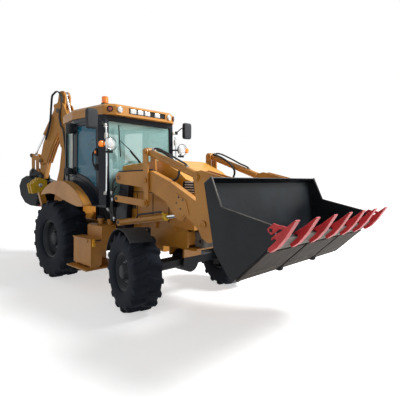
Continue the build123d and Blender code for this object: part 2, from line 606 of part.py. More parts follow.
# Tilt levers: a pair of plates over each arm with their pins, and the levelling links behind them
lever_out = ARM_Y + CHEEK_GAP + PLATE_T
lever = link(LEVER_TOP, LEVER_LOW, 48, 46, lever_out - PLATE_T / 2, PLATE_T)
lever += link(LEVER_TOP, LEVER_PIVOT, 48, 60, ARM_Y - CHEEK_GAP - PLATE_T / 2, PLATE_T)
for place in (LEVER_TOP, LEVER_PIVOT):
    lever += cross_bar(place, ARM_Y - CHEEK_GAP - PLATE_T - 8, lever_out + 8, PIN_R)
lever += cross_bar(LEVER_LOW, lever_out - 5, lever_out + LINK_T + 10, PIN_R)
save("tilt_levers", both_sides(lever))
link_y = lever_out + LINK_GAP + LINK_T / 2
level = link(LINK_REAR, LEVER_LOW, 46, 46, link_y, LINK_T)
level -= cross_bar(LINK_REAR, link_y - LINK_T, link_y + LINK_T, LINK_PIN_R + FIT)
level -= cross_bar(LEVER_LOW, link_y - LINK_T, link_y + LINK_T, PIN_R + FIT)
save("levelling_links", both_sides(level))

# Tilt and lift cylinders
tilt_l = math.dist(LEVER_TOP, TILT_PIN) - TILT_SHOWN
tilt = ram_barrel(LEVER_TOP, TILT_PIN, tilt_l, TILT_BARREL_R, 52, 90, TILT_ROD_R + BORE_GAP, ARM_Y)
tilt -= cross_bar(LEVER_TOP, ARM_Y - 60, ARM_Y + 60, PIN_R + FIT)
save("tilt_barrels", both_sides(tilt))
tilt_rod = ram_rod(LEVER_TOP, TILT_PIN, TILT_ROD_L, TILT_ROD_R, 46, 70, ARM_Y)
tilt_rod -= cross_bar(TILT_PIN, ARM_Y - 60, ARM_Y + 60, PIN_R)
save("tilt_rods", both_sides(tilt_rod))
lift_l = math.dist(LIFT_REAR, LIFT_FRONT) - LIFT_SHOWN
lift = ram_barrel(LIFT_REAR, LIFT_FRONT, lift_l, LIFT_BARREL_R, 50, 70, LIFT_ROD_R + BORE_GAP, ARM_Y)
lift -= cross_bar(LIFT_REAR, ARM_Y - 60, ARM_Y + 60, LINK_PIN_R + FIT)
save("lift_barrels", both_sides(lift))
lift_rod = ram_rod(LIFT_REAR, LIFT_FRONT, LIFT_ROD_L, LIFT_ROD_R, 40, 40, ARM_Y)
lift_rod -= cross_bar(LIFT_FRONT, ARM_Y - 60, ARM_Y + 60, LINK_PIN_R)
save("lift_rods", both_sides(lift_rod))

# Bucket pins, the coupler frame on the bucket's back, and the bucket
pins = cross_bar(BUCKET_PIN, ARM_Y - CHEEK_GAP - PLATE_T - 6, ARM_Y + CHEEK_GAP + PLATE_T + 6, PIN_R)
save("bucket_pins", both_sides(pins))

floor_along = ((FLOOR_FRONT[0] - FLOOR_REAR[0]), (FLOOR_FRONT[1] - FLOOR_REAR[1]))
floor_len = math.hypot(*floor_along)
along = (floor_along[0] / floor_len, floor_along[1] / floor_len)
inward = (-along[1], along[0])


def on_floor(s, n):
    """The (x, z) place a distance s ahead of the bucket's lip and n above its floor's underside."""
    return (FLOOR_FRONT[0] + s * along[0] + n * inward[0], FLOOR_FRONT[1] + s * along[1] + n * inward[1])


side_outline = [BACK_TOP, (3703, 1719), (3831, 1434), (4381, 1318), FLOOR_FRONT, FLOOR_REAR, HEEL, BACK_LOW]
hollow = [(3634, 1660), (3660, 1800), (4300, 1800), on_floor(200, 400), on_floor(60, BUCKET_SHEET),
          on_floor(-floor_len + 8, BUCKET_SHEET), (3864, 894), (3766, 1020)]
bucket_solid = profile(side_outline, 0, BUCKET_W)
bucket = bucket_solid - profile(hollow, 0, BUCKET_W - 2 * BUCKET_SIDE_T)

teeth = None
for i in range(TOOTH_COUNT):
    y = (i - (TOOTH_COUNT - 1) / 2) * TOOTH_PITCH
    tooth_line = [on_floor(-160, 0), on_floor(-160, -30), on_floor(-60, -58), on_floor(40, -54),
                  on_floor(250, 4), on_floor(250, 16), on_floor(60, 50), on_floor(0, 50), on_floor(0, 0)]
    tooth = profile(tooth_line, y, TOOTH_W)
    teeth = tooth if teeth is None else teeth + tooth
for side in (-1, 1):
    cutter = profile([(4290, 1140), (4262, 1330), (4385, 1352), (4430, 1262), on_floor(0, 52),
                      on_floor(-5, 4), on_floor(-90, 4)],
                     side * (BUCKET_W / 2 + 10), 20)
    cutter -= profile([(4330, 1225), (4330, 1262), (4367, 1262), (4367, 1225)], side * (BUCKET_W / 2 + 10),
                      40)
    teeth += cutter
save("bucket_teeth", teeth - bucket_solid)
wear = None
wear_w = (BUCKET_W - 2 * 70) / 3
for i in (-1, 0, 1):
    strip = profile([on_floor(-610, 0), on_floor(-610, -16), on_floor(-175, -16), on_floor(-175, 0)],
                    i * (wear_w + 60), wear_w)
    wear = strip if wear is None else wear + strip
save("loader_bucket", bucket + wear)

outer_plate = [(3100, 1690), (3112, 1775), (3220, 1795), (3640, 1700), (3780, 1100), (3600, 1040),
               (3330, 985), (3240, 1030), (3190, 1110), (3150, 1420)]
inner_plate = [(3100, 1690), (3112, 1775), (3220, 1795), (3640, 1700), (3780, 1100), (3560, 1105),
               (3275, 1122), (3216, 1150), (3212, 1230), (3290, 1420), (3200, 1600)]
coupler = profile(outer_plate, ARM_Y + CHEEK_GAP + PLATE_T / 2, PLATE_T, radius=20)
coupler += profile(inner_plate, ARM_Y - CHEEK_GAP - PLATE_T / 2, PLATE_T, radius=15)
coupler -= cross_bar(BUCKET_PIN, ARM_Y - 100, ARM_Y + 100, PIN_R + FIT)
coupler += cross_bar(TILT_PIN, ARM_Y + CHEEK_GAP + PLATE_T, ARM_Y + CHEEK_GAP + PLATE_T + 12, 50)
coupler = both_sides(coupler)
coupler += bar((3520, -(ARM_Y - CHEEK_GAP), 1500), (3520, ARM_Y - CHEEK_GAP, 1500), 55)
save("coupler", coupler - bucket_solid)

# Rear frame plate with the two bosses of the kingpost
plate_x = (-1100, -1060)
rear_frame = slab(plate_x, (-560, 560), (420, 1180))
rear_frame = chamfer(rear_frame.edges().filter_by(Axis.X), 80)
for boss_z in ((440, 520), (960, 1040)):
    rear_frame += slab((KINGPOST_X, plate_x[0]), (-95, 95), boss_z) + bar((KINGPOST_X, 0, boss_z[0]),
                                                                          (KINGPOST_X, 0, boss_z[1]), 95)
    rear_frame -= bar((KINGPOST_X, 0, boss_z[0] - 5), (KINGPOST_X, 0, boss_z[1] + 5), 45 + FIT)
housing_y = (RAIL_Y + RAIL_T / 2 + SEAT_GAP, LEG_PIVOT[0] - 85)
for side in (-1, 1):
    rear_frame += slab((plate_x[1], LEG_X + 62), (side * housing_y[0], side * housing_y[1]), (640, 880))
    lug_plane = Plane(origin=(LEG_X, 0, 0), x_dir=(0, side, 0), z_dir=(side, 0, 0))
    lug_edges = Pos(*LEG_PIVOT) * Circle(75).edge() + Pos(housing_y[0] + 110,
                                                          LEG_PIVOT[1]) * Circle(110).edge()
    lug = extrude(lug_plane * make_hull(lug_edges.edges()), 62, both=True)
    rear_frame += lug - extrude(lug_plane * make_hull(lug_edges.edges()), 45, both=True)
    rear_frame += bar((LEG_X - 66, side * LEG_PIVOT[0], LEG_PIVOT[1]),
                      (LEG_X + 66, side * LEG_PIVOT[0], LEG_PIVOT[1]), 30)
rear_frame -= frame
save("rear_frame", rear_frame)

# Kingpost casting that carries the boom, turning between the bosses
post = bar((KINGPOST_X, 0, 400), (KINGPOST_X, 0, CAP_Z), 45)
post += bar((KINGPOST_X, 0, 526), (KINGPOST_X, 0, 954), 92)
cheek_y = BOOM_HALF + 8
for side in (-1, 1):
    y = side * (cheek_y + 14)
    post += profile([at((-20, 560)), at((-20, 930)), at((90, 930)), at((150, 940)), at((300, 900)),
                     at((320, 760)), at((200, 700)), at((90, 560))], y, 28, radius=20)
post += profile([at((20, 560)), at((20, 660)), at((92, 660)), at((92, 560))], 0, 2 * cheek_y)
post += profile([at((20, 830)), at((20, 950)), at((80, 950)), at((80, 830))], 0, 2 * cheek_y)
post += cross_bar(at(BOOM_FOOT), -cheek_y - 36, cheek_y + 36, 34)
post += bar((KINGPOST_X, 0, 1046), (KINGPOST_X, 0, CAP_Z), 80)
for side in (-1, 1):
    post += profile([at((-70, CAP_Z)), at((-60, 1170)), at((20, 1170)), at((50, CAP_Z))], side * EAR_Y, 20,
                    radius=12)
post += cross_bar(at(BOOM_CYL_LOW), -EAR_Y - 10, EAR_Y + 10, HOE_PIN_R)
save("kingpost", hoe(post))

# Boom: a cranked box with cheeks at its head for the stick
boom_line = [
    (100, 760), (100, 1100), (20, 1500), (-90, 1900), (-150, 2250), (-105, 2480), (165, 2530), (133, 2290),
    (192, 1860), (270, 1610), (350, 1150), (340, 760),
]
boom_radii = [60, 60, 200, 200, 200, 20, 20, 200, 200, 200, 100, 80]
boom = profile([at(p) for p in boom_line], 0, 2 * BOOM_HALF, radius=boom_radii)
boom -= cross_bar(at(BOOM_FOOT), -BOOM_HALF - 5, BOOM_HALF + 5, 34 + FIT)
head_line = [(-130, 2330), (-140, 2600), (-60, 3000), (60, 3250), (180, 3330), (320, 3240), (350, 3060),
             (250, 2780), (165, 2500), (140, 2330)]
for side in (-1, 1):
    boom += profile([at(p) for p in head_line], side * (BOOM_HALF + 12), 24, radius=40)
boom += cross_bar(at(STICK_PIVOT), -BOOM_HALF - 34, BOOM_HALF + 34, HOE_PIN_R + 5)
for pin, foot, inner_y in ((BOOM_CYL_TOP, (-60, 1860), EYE_HALF + EYE_GAP),
                           (DIPPER_CYL_LOW, (-100, 2050), 0)):
    for side in (-1, 1):
        boom += link(at(pin), at(foot), 45, 70, side * EAR_Y, 20)
        boom += cross_bar(at(pin), side * inner_y, side * (EAR_Y + 14), HOE_PIN_R)
save("boom", hoe(boom))

# Stick with the guides along its front face, its cylinder ears and its narrow tip
stick_line = [
    (60, 3430), (110, 3545), (235, 3540), (300, 3180), (470, 2900), (700, 2450), (786, 2129), (815, 1950),
    (600, 2020), (438, 2375), (221, 2722), (110, 2980), (70, 3200),
]
stick = profile([at(p) for p in stick_line], 0, 2 * STICK_HALF, radius=30)
tip_line = [(600, 2060), (815, 1990), (840, 1720), (800, 1650), (720, 1650), (690, 1720)]
stick += profile([at(p) for p in tip_line], 0, 2 * STICK_TIP_HALF, radius=30)
for side in (-1, 1):
    stick += link(at(CURL_TOP), at((250, 3180)), 45, 60, side * EAR_Y, 20)
guide = profile([at(p) for p in ((221, 2722), (438, 2375), (600, 2020), (580, 2010), (416, 2365),
                                 (199, 2712))], 0, 24)
for y in (-60, 0, 60):
    stick += Pos(0, y, 0) * guide
stick -= slab((KINGPOST_X - 400, KINGPOST_X + 60), (-FORK_HALF, FORK_HALF), (STICK_PIVOT[1] + 60, 3650))
stick -= cross_bar(at(STICK_PIVOT), -STICK_HALF - 5, STICK_HALF + 5, HOE_PIN_R + 5 + FIT)
stick -= cross_bar(at(STICK_TIP), -100, 100, HOE_PIN_R + FIT)
stick -= cross_bar(at(ROCKER_PIVOT), -STICK_HALF - 5, STICK_HALF + 5, HOE_PIN_R + FIT)
stick += cross_bar(at(CURL_TOP), -EAR_Y, EAR_Y, HOE_PIN_R)
for side in (-1, 1):
    stick += cross_bar(at(STICK_TAIL), side * FORK_HALF, side * (STICK_HALF + 10), HOE_PIN_R + 10)
save("stick", hoe(stick))

# Rocker, bucket link and the backhoe bucket
rocker = None
for side in (-1, 1):
    plate = link(at(ROCKER_PIVOT), at(ROCKER_END), 46, 46, side * (STICK_HALF + 16), 20)
    rocker = plate if rocker is None else rocker + plate
rocker += cross_bar(at(ROCKER_PIVOT), -STICK_HALF - 26, STICK_HALF + 26, HOE_PIN_R)
for side in (-1, 1):
    rocker += cross_bar(at(ROCKER_END), side * (EYE_HALF + EYE_GAP), side * (STICK_HALF + 26), HOE_PIN_R)
save("rocker", hoe(rocker))
joiner = None
for side in (-1, 1):
    plate = link(at(ROCKER_END), at(BUCKET_LINK), 42, 42, side * 58, 18)
    plate -= cross_bar(at(ROCKER_END), -80, 80, HOE_PIN_R + FIT)
    joiner = plate if joiner is None else joiner + plate
joiner += cross_bar(at(BUCKET_LINK), -52, 52, 40)
joiner -= cross_bar(at(BUCKET_LINK), -80, 80, HOE_PIN_R + 3)
save("bucket_link", hoe(joiner))

shell_line = [(620, 1600), (800, 1640), (1000, 1720), (1150, 1650), (1225, 1490), (1180, 1290),
              (1040, 1130), (870, 1070), (700, 1060)]
core_line = [(560, 1578), (804, 1616), (998, 1694), (1132, 1636), (1200, 1486), (1158, 1304), (1030, 1152),
             (868, 1094), (600, 1083)]
hoe_bucket = profile([at(p) for p in shell_line], 0, HOE_BUCKET_W)
hoe_bucket -= profile([at(p) for p in core_line], 0, HOE_BUCKET_W - 40)
ear_line = [(690, 1605), (700, 1730), (750, 1775), (1030, 1895), (1110, 1830), (1130, 1640), (1000, 1719),
            (800, 1639)]
for side in (-1, 1):
    hoe_bucket += profile([at(p) for p in ear_line], side * 92, 24,
                          radius=8) - profile([at(p) for p in shell_line], 0, HOE_BUCKET_W)
hoe_bucket += cross_bar(at(STICK_TIP), -110, 110, HOE_PIN_R)
hoe_bucket += cross_bar(at(BUCKET_LINK), -110, -80, HOE_PIN_R) + cross_bar(at(BUCKET_LINK), 80, 110,
                                                                           HOE_PIN_R)
hoe_teeth = None
for i in range(5):
    y = (i - 2) * 122
    tooth = profile([at((700, 1052)), at((700, 1092)), at((560, 1082)), at((560, 1072))], y, 60)
    hoe_teeth = tooth if hoe_teeth is None else hoe_teeth + tooth
save("hoe_bucket", hoe(hoe_bucket + hoe_teeth))

# Backhoe cylinders
# columns: name, base pin, rod pin, distance from the barrel's mouth to the rod's eye,
# rod length behind its eye
for name, low, top, shown, length in (
    ("boom", BOOM_CYL_LOW, BOOM_CYL_TOP, 63, 676),
    ("dipper", DIPPER_CYL_LOW, STICK_TAIL, 726, 800),
    ("curl", CURL_TOP, ROCKER_END, 545, 670),
):
    barrel_l = math.dist(low, top) - shown
    barrel = ram_barrel(at(low), at(top), barrel_l, HOE_BARREL_R, HOE_BARREL_R, 80, HOE_ROD_R + BORE_GAP)
    barrel -= cross_bar(at(low), -60, 60, HOE_PIN_R + FIT)
    save(f"{name}_barrel", hoe(barrel))
    ram = ram_rod(at(low), at(top), length, HOE_ROD_R, HOE_PIN_R + 13, 2 * EYE_HALF)
    ram += cross_bar(at(top), -EYE_HALF - 4, EYE_HALF + 4, HOE_PIN_R)
    save(f"{name}_rod", hoe(ram))

# Stabiliser legs, folded up beside the rear frame, with their toothed pads
for name, side in (("left", 1), ("right", -1)):
    leg_plane = Plane(origin=(LEG_X, 0, 0), x_dir=(0, side, 0), z_dir=(side, 0, 0))
    leg_ends = Pos(*LEG_PIVOT) * Circle(70).edge() + Pos(*LEG_FOOT) * Circle(45).edge()
    leg_outline = make_hull(leg_ends.edges())
    leg = extrude(leg_plane * leg_outline, 40, both=True)
    pad_line = Polyline((LEG_FOOT[0] - 150, 1450), (LEG_FOOT[0] + 150, 1380), (LEG_FOOT[0] + 190, 1560),
                        (LEG_FOOT[0] + 60, 1690), (LEG_FOOT[0] - 120, 1640), close=True)
    pad = extrude(leg_plane * make_face(pad_line), 85,
                  both=True) - extrude(leg_plane * make_face(pad_line), 42, both=True)
    leg -= bar((LEG_X - 60, side * LEG_PIVOT[0], LEG_PIVOT[1]),
               (LEG_X + 60, side * LEG_PIVOT[0], LEG_PIVOT[1]), 30 + FIT)
    pad += bar((LEG_X - 90, side * LEG_FOOT[0], LEG_FOOT[1]), (LEG_X + 90, side * LEG_FOOT[0],
                                                               LEG_FOOT[1]), 22)
    save(f"stabiliser_{name}", leg + pad)
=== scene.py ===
# %% [markdown]
# # A backhoe loader
# The machine is a steel frame on four lug tyres, with a loading bucket held out in front by two bent
# arms, a glazed cab in the middle and a folded digging arm behind. Its rigid pieces come from the CAD
# frame. This notebook gives each of them a finish, and adds the tyres' tread, the lamps, mirrors,
# hoses, pins and fittings as surfaces worked out with numpy.

# %% Load the frame
import json
import math

import bmesh
import bpy
import numpy as np
from mathutils import Matrix


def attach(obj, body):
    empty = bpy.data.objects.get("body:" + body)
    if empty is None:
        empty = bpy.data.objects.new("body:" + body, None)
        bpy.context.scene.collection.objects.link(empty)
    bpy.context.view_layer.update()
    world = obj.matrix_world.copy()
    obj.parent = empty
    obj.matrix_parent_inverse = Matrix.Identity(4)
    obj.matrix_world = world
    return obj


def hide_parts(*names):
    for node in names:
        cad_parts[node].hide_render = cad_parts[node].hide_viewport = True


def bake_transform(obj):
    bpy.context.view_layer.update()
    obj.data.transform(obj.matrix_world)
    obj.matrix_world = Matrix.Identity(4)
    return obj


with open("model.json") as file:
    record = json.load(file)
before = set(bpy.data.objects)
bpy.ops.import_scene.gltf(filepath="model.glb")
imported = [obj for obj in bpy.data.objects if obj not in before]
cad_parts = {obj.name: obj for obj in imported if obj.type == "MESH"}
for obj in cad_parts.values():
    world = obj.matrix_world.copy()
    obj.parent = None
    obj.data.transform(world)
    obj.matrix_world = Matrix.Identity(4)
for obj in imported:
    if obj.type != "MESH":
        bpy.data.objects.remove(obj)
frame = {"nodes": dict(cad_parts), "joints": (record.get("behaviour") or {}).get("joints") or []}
nodes = frame["nodes"]
joints = {joint["name"]: joint for joint in frame["joints"]}
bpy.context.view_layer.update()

# %% [markdown]
# ## Places
# The machine is drawn in millimetres from its rear axle, with X forward, Y to its left and Z up. The
# frame's own origin lies under the middle of the machine, so every place is moved back by the same
# distance. The digging arm stands in its own upright plane, turned about the kingpost.

# %% Places on the machine
REAR_AXLE_X = joints["rear_wheel_spin_left"]["pos_m"][0]
KINGPOST_X = joints["swing"]["pos_m"][0]
ARM_SWING = math.radians(19)
AHEAD, LEFT, UP = np.eye(3)


def places(points):
    """Points in millimetres from the rear axle, in metres in the frame."""
    return np.asarray(points, float) / 1000 + REAR_AXLE_X * AHEAD


def place(x, y, z):
    """One such point."""
    return places((x, y, z))


def digger_places(points):
    """Points of the digging arm's plane, in metres in the frame: each is a distance back from the
    kingpost, one across the plane and a height, turned about the kingpost by the parked swing."""
    back, across, height = np.moveaxis(np.asarray(points, float) / 1000, -1, 0)
    cos, sin = math.cos(ARM_SWING), math.sin(ARM_SWING)
    return np.stack([KINGPOST_X - back * cos - across * sin, across * cos - back * sin, height], -1)


def digger_place(back, across, height):
    """One such point."""
    return digger_places((back, across, height))


def unit(vectors):
    """Vectors with each length made 1."""
    return vectors / np.linalg.norm(vectors, axis=-1, keepdims=True)


print("rear axle at x", round(REAR_AXLE_X, 3), "m, kingpost at x", round(KINGPOST_X, 3), "m")

# %% [markdown]
# ## Camera
# The photograph was taken from the front right, a little above waist height, with a wide lens. The
# camera's place, lens and shift were solved from the wheels, the bucket and the roof, so each piece
# falls close to its pixel in the photograph.

# %% Camera
CAMERA_PLACE = place(6075, -3676, 1706)
CAMERA_YAW = math.radians(134.9455)
CAMERA_PITCH = math.radians(-0.7997)
CAMERA_ROLL = math.radians(0.5540)
SENSOR_MM = 36
FRAME_PIXELS = 400
FOCAL_PIXELS = 364.52
CENTRE_PIXEL = (193.33, 183.10)


def stand(name, data, right, up, back, where):
    """Adds an object whose matrix has its three axes and its place as columns."""
    thing = bpy.data.objects.new(name, data)
    turn = np.eye(4)
    turn[:3] = np.column_stack([right, up, back, where])
    thing.matrix_world = Matrix(turn.tolist())
    bpy.context.scene.collection.objects.link(thing)
    return thing


view = np.array([math.cos(CAMERA_PITCH) * math.cos(CAMERA_YAW),
                 math.cos(CAMERA_PITCH) * math.sin(CAMERA_YAW), math.sin(CAMERA_PITCH)])
level = np.array([math.sin(CAMERA_YAW), -math.cos(CAMERA_YAW), 0.0])
above = np.cross(level, view)
right = math.cos(CAMERA_ROLL) * level + math.sin(CAMERA_ROLL) * above
up = math.cos(CAMERA_ROLL) * above - math.sin(CAMERA_ROLL) * level

camera_data = bpy.data.cameras.new("camera")
camera_data.sensor_width = SENSOR_MM
camera_data.lens = SENSOR_MM * FOCAL_PIXELS / FRAME_PIXELS
camera_data.shift_x = (FRAME_PIXELS / 2 - CENTRE_PIXEL[0]) / FRAME_PIXELS
camera_data.shift_y = (CENTRE_PIXEL[1] - FRAME_PIXELS / 2) / FRAME_PIXELS
bpy.context.scene.camera = stand("camera", camera_data, right, up, -view, CAMERA_PLACE)
print("lens", round(camera_data.lens, 2), "mm")

# %% [markdown]
# ## Colours and nodes
# Colours are written as they are read off a screen, in sRGB, and one function turns them linear,
# because the shaders work with linear light. One more function adds a shader node with its settings
# and links, so each finish below reads as a list of what its surface does.

# %% Colour and node helpers
def linear(code):
    """An sRGB hex colour as linear numbers: below 0.04045 divide by 12.92, above it take the 2.4 power."""
    share = np.array([int(code[i:i + 2], 16) / 255 for i in (1, 3, 5)])
    curve = np.where(share <= 0.04045, share / 12.92, ((share + 0.055) / 1.055) ** 2.4)
    return (*curve.tolist(), 1.0)


def add_node(tree, kind, inputs=None, **settings):
    """Adds one shader node, sets its properties, and sets or links its inputs."""
    node = tree.nodes.new(f"ShaderNode{kind}")
    for name, value in settings.items():
        setattr(node, name, value)
    for name, value in (inputs or {}).items():
        if isinstance(value, bpy.types.NodeSocket):
            tree.links.new(value, node.inputs[name])
        else:
            node.inputs[name].default_value = value
    return node


def new_finish(name):
    """A material with an empty node tree, and its object coordinates."""
    material = bpy.data.materials.new(name)
    material.use_nodes = True
    tree = material.node_tree
    tree.nodes.clear()
    return material, tree, add_node(tree, "TexCoord").outputs["Object"]


def weathered(name, fresh, worn, dust, roughness, metallic=0.0, patch=0.35, grain=0.004, bump=0.12,
              dust_share=0.25, stretch=(1, 1, 1), gloss=0.5):
    """A hard coated surface: a fresh and a worn colour mixed by broad noise, with dust where it faces up.
    patch and grain are the sizes of the broad and the fine noise in metres, gloss the specular level.
    The ripple of sprayed enamel is about 1 mm wide, and is drawn at 4 mm, so that it can show."""
    material, tree, where = new_finish(name)
    spread = add_node(tree, "Mapping", {"Vector": where, "Scale": stretch}).outputs["Vector"]
    broad = add_node(tree, "TexNoise", {"Vector": spread, "Scale": 1 / patch, "Detail": 5.0,
                                        "Roughness": 0.6}).outputs["Fac"]
    fine = add_node(tree, "TexNoise", {"Vector": spread, "Scale": 1 / grain, "Detail": 2.0}).outputs["Fac"]
    wear = add_node(tree, "MapRange", {"Value": broad, "From Min": 0.42, "From Max": 0.68}).outputs["Result"]
    paint = add_node(tree, "Mix", {"Factor": wear, "A": linear(fresh), "B": linear(worn)}, data_type="RGBA")
    normal = add_node(tree, "NewGeometry").outputs["Normal"]
    height = add_node(tree, "SeparateXYZ", {"Vector": normal}).outputs["Z"]
    lying = add_node(tree, "MapRange", {"Value": height, "From Min": 0.5, "From Max": 1.0,
                                        "To Max": dust_share}).outputs["Result"]
    settled = add_node(tree, "Math", {0: lying, 1: broad}, operation="MULTIPLY").outputs["Value"]
    dusty = add_node(tree, "Mix", {"Factor": settled, "A": paint.outputs["Result"], "B": linear(dust)},
                     data_type="RGBA")
    rough = add_node(tree, "MapRange", {"Value": broad, "To Min": roughness - 0.08,
                                        "To Max": roughness + 0.12})
    relief = add_node(tree, "Bump", {"Height": fine, "Strength": bump, "Distance": 0.0006})
    shader = add_node(tree, "BsdfPrincipled", {
        "Base Color": dusty.outputs["Result"], "Roughness": rough.outputs["Result"],
        "Metallic": metallic, "Normal": relief.outputs["Normal"], "Specular IOR Level": gloss})
    add_node(tree, "OutputMaterial", {"Surface": shader.outputs["BSDF"]})
    return material


print("mid grey in linear light is", round(linear("#808080")[0], 3))

# %% [markdown]
# ## Painted steel
# The frame, arms, hood and boom are welded plate sprayed with a tough enamel. It is a warm yellow
# brown, slightly wavy from the spray gun, dulled by weather in broad patches and by dust where it
# faces the sky, and drawn lighter on the hood as painted sunlight. The cab posts, the bucket and the
# wheels wear black enamel of three sheens.

# %% Enamels
enamel = weathered("yellow_enamel", "#C3852F", "#AC722A", "#D9A65A", 0.4, patch=0.5, dust_share=0.3)
# the hood's copy of the enamel is lighter and yellower than the rest: painted sunlight
painted_sunlit_hood_enamel = weathered("sunlit_yellow_enamel", "#D2962F", "#C08A34", "#E4B45A", 0.32, patch=0.4,
                        dust_share=0.5)
# black enamel of the cab, doors and floor; on the loader tower it is painted shade
cab_black_and_tower_painted_shade = weathered("cab_black_enamel_and_tower_painted_shade", "#0F141E", "#171E2B", "#363C46", 0.3, dust_share=0.12,
                       gloss=0.25)
frame_enamel = weathered("frame_black_enamel", "#101318", "#1B1E22", "#2E2C29", 0.55, dust_share=0.3,
                         gloss=0.25)
bucket_enamel = weathered("bucket_black_enamel", "#0E1216", "#1A2025", "#30363B", 0.38, patch=0.28,
                          bump=0.2, dust_share=0.2, gloss=0.22)
rim_enamel = weathered("rim_black_enamel", "#0C1016", "#171C25", "#322F2B", 0.45, dust_share=0.2,
                       gloss=0.25)
red_enamel = weathered("red_enamel", "#C2262A", "#A01E24", "#C4574E", 0.42, patch=0.12, dust_share=0.2)
pad_enamel = weathered("bright_yellow_enamel", "#E3B92A", "#C79C22", "#E8CC70", 0.45, patch=0.2)
print("enamels", len(bpy.data.materials))

# %% [markdown]
# ## Bare metal and tyre rubber
# Castings are rough and grey, wear plates are scoured along the way the soil runs, pins and fittings
# are zinc plated, and the louvres are bare pressed strip. The tyres' rubber gathers dust in patches in
# the same way, so it is made by the same function.

# %% Bare metal and rubber
grey_iron = weathered("grey_cast_iron", "#6A655E", "#4E4A45", "#8A8174", 0.7, patch=0.12, bump=0.4)
worn_plate = weathered("scoured_steel_plate", "#3F3832", "#2F2A26", "#4A433C", 0.7, gloss=0.15,
                       patch=0.2, bump=0.35, stretch=(1.0, 6.0, 1.0))
bright_steel = weathered("zinc_plated_steel", "#A9ABAD", "#8D8F92", "#B8B8B8", 0.35, metallic=0.8,
                         patch=0.05, dust_share=0.05)
louvre_steel = weathered("bare_louvre_steel", "#D7DADC", "#BFC4C8", "#E4E4E4", 0.35, metallic=0.25,
                         patch=0.2, dust_share=0.05)
tyre_rubber = weathered("tyre_rubber", "#12171F", "#1A202A", "#2F2F30", 0.8, patch=0.12, grain=0.006,
                        bump=0.35, dust_share=0.2, gloss=0.2)
print("weathered finishes", len(bpy.data.materials))

# %% [markdown]
# ## Plain finishes
# Rubber, moulded plastic, chrome and glass leave the factory even, and handling and dust dull them in
# soft patches. Window glass is a thin sheet with a blue-green tint. It lets much of the light through,
# so its alpha is low, and what makes it read as glass is the sharp reflection on top.

# %% Plain finishes
def plain(name, code, roughness, metallic=0.0, alpha=1.0, bump=0.0, grain=0.003, coat=0.0, glow=0.0,
          soiled=0.3, patch=0.06, gloss=0.5):
    """A moulded or polished surface, with an optional fine relief of the given grain in metres. Noise of
    the given patch size mixes in a share of a dulled colour, and the dulled places are less smooth."""
    material, tree, where = new_finish(name)
    broad = add_node(tree, "TexNoise", {"Vector": where, "Scale": 1 / patch, "Detail": 4.0}).outputs["Fac"]
    handled = add_node(tree, "MapRange", {"Value": broad, "From Min": 0.4, "From Max": 0.75,
                                          "To Max": soiled})
    dulled = 0.6 * np.array(linear(code)) + 0.1 * np.array(linear("#6B6358"))
    colour = add_node(tree, "Mix", {"Factor": handled.outputs["Result"], "A": linear(code),
                                    "B": dulled.tolist()}, data_type="RGBA")
    rough = add_node(tree, "MapRange", {"Value": broad, "To Min": roughness,
                                        "To Max": min(roughness * 1.6 + 0.03, 1.0)})
    inputs = {"Base Color": colour.outputs["Result"], "Roughness": rough.outputs["Result"],
              "Metallic": metallic, "Alpha": alpha, "Coat Weight": coat, "Specular IOR Level": gloss}
    if glow:
        inputs.update({"Emission Color": linear(code), "Emission Strength": glow})
    if bump:
        fine = add_node(tree, "TexNoise", {"Vector": where, "Scale": 1 / grain, "Detail": 3.0})
        inputs["Normal"] = add_node(tree, "Bump", {"Height": fine.outputs["Fac"], "Strength": bump,
                                                   "Distance": 0.001}).outputs["Normal"]
    shader = add_node(tree, "BsdfPrincipled", inputs)
    add_node(tree, "OutputMaterial", {"Surface": shader.outputs["BSDF"]})
    return material


hose_rubber = plain("hose_rubber", "#14161A", 0.5, bump=0.25, grain=0.002)
moulded_black = plain("moulded_black_plastic", "#14171B", 0.55, bump=0.2, gloss=0.3)
mirror_shell = plain("dark_grey_plastic", "#2B2D31", 0.5, bump=0.2, gloss=0.3)
chrome = plain("hard_chrome", "#D9DCDF", 0.12, metallic=1.0)
mirror_glass = plain("mirror_glass", "#9DB0C0", 0.05, metallic=1.0)
window_glass = plain("tinted_window_glass", "#A5D6D2", 0.03, alpha=0.34, coat=0.3, soiled=0.2, patch=0.4)
door_glass = plain("blue_tinted_door_glass", "#0C7C9C", 0.03, alpha=0.72, soiled=1.0, patch=0.45,
                   gloss=0.2)
clear_lens = plain("clear_lamp_lens", "#D9DDDE", 0.15, coat=0.3, soiled=0.5, patch=0.03)
amber_lens = plain("amber_lamp_lens", "#F5821E", 0.2, coat=0.3, glow=0.25, soiled=0.2, patch=0.03)
red_lens = plain("red_lamp_lens", "#8A2A1E", 0.25, coat=0.6)
seat_cloth = plain("seat_cloth", "#3C4A58", 0.9, bump=0.5, grain=0.004)
dash_plastic = plain("pale_grey_dash_plastic", "#B9C0C4", 0.5, bump=0.3, grain=0.002)
white_plastic = plain("white_nylon_block", "#DCDCD6", 0.5, bump=0.1)
brass = plain("brass_padlock", "#F0B428", 0.3, metallic=0.3)
reflector = plain("lamp_reflector", "#C9CDD0", 0.2, metallic=0.9)
seal_rubber = plain("window_seal_rubber", "#0E1013", 0.6, bump=0.2, grain=0.004)
# matt black for the panel seams, and painted shade in the lamp recess, vent slots, flank vent, bucket
# recesses and cutter holes
seam_and_painted_shade_black = plain("seam_black_and_painted_shade", "#08090A", 0.8, bump=0.2)
print("finishes", len(bpy.data.materials))

# %% [markdown]
# ## Finishes on the CAD pieces
# Each CAD node keeps its shape, and gets the finish of the real piece.

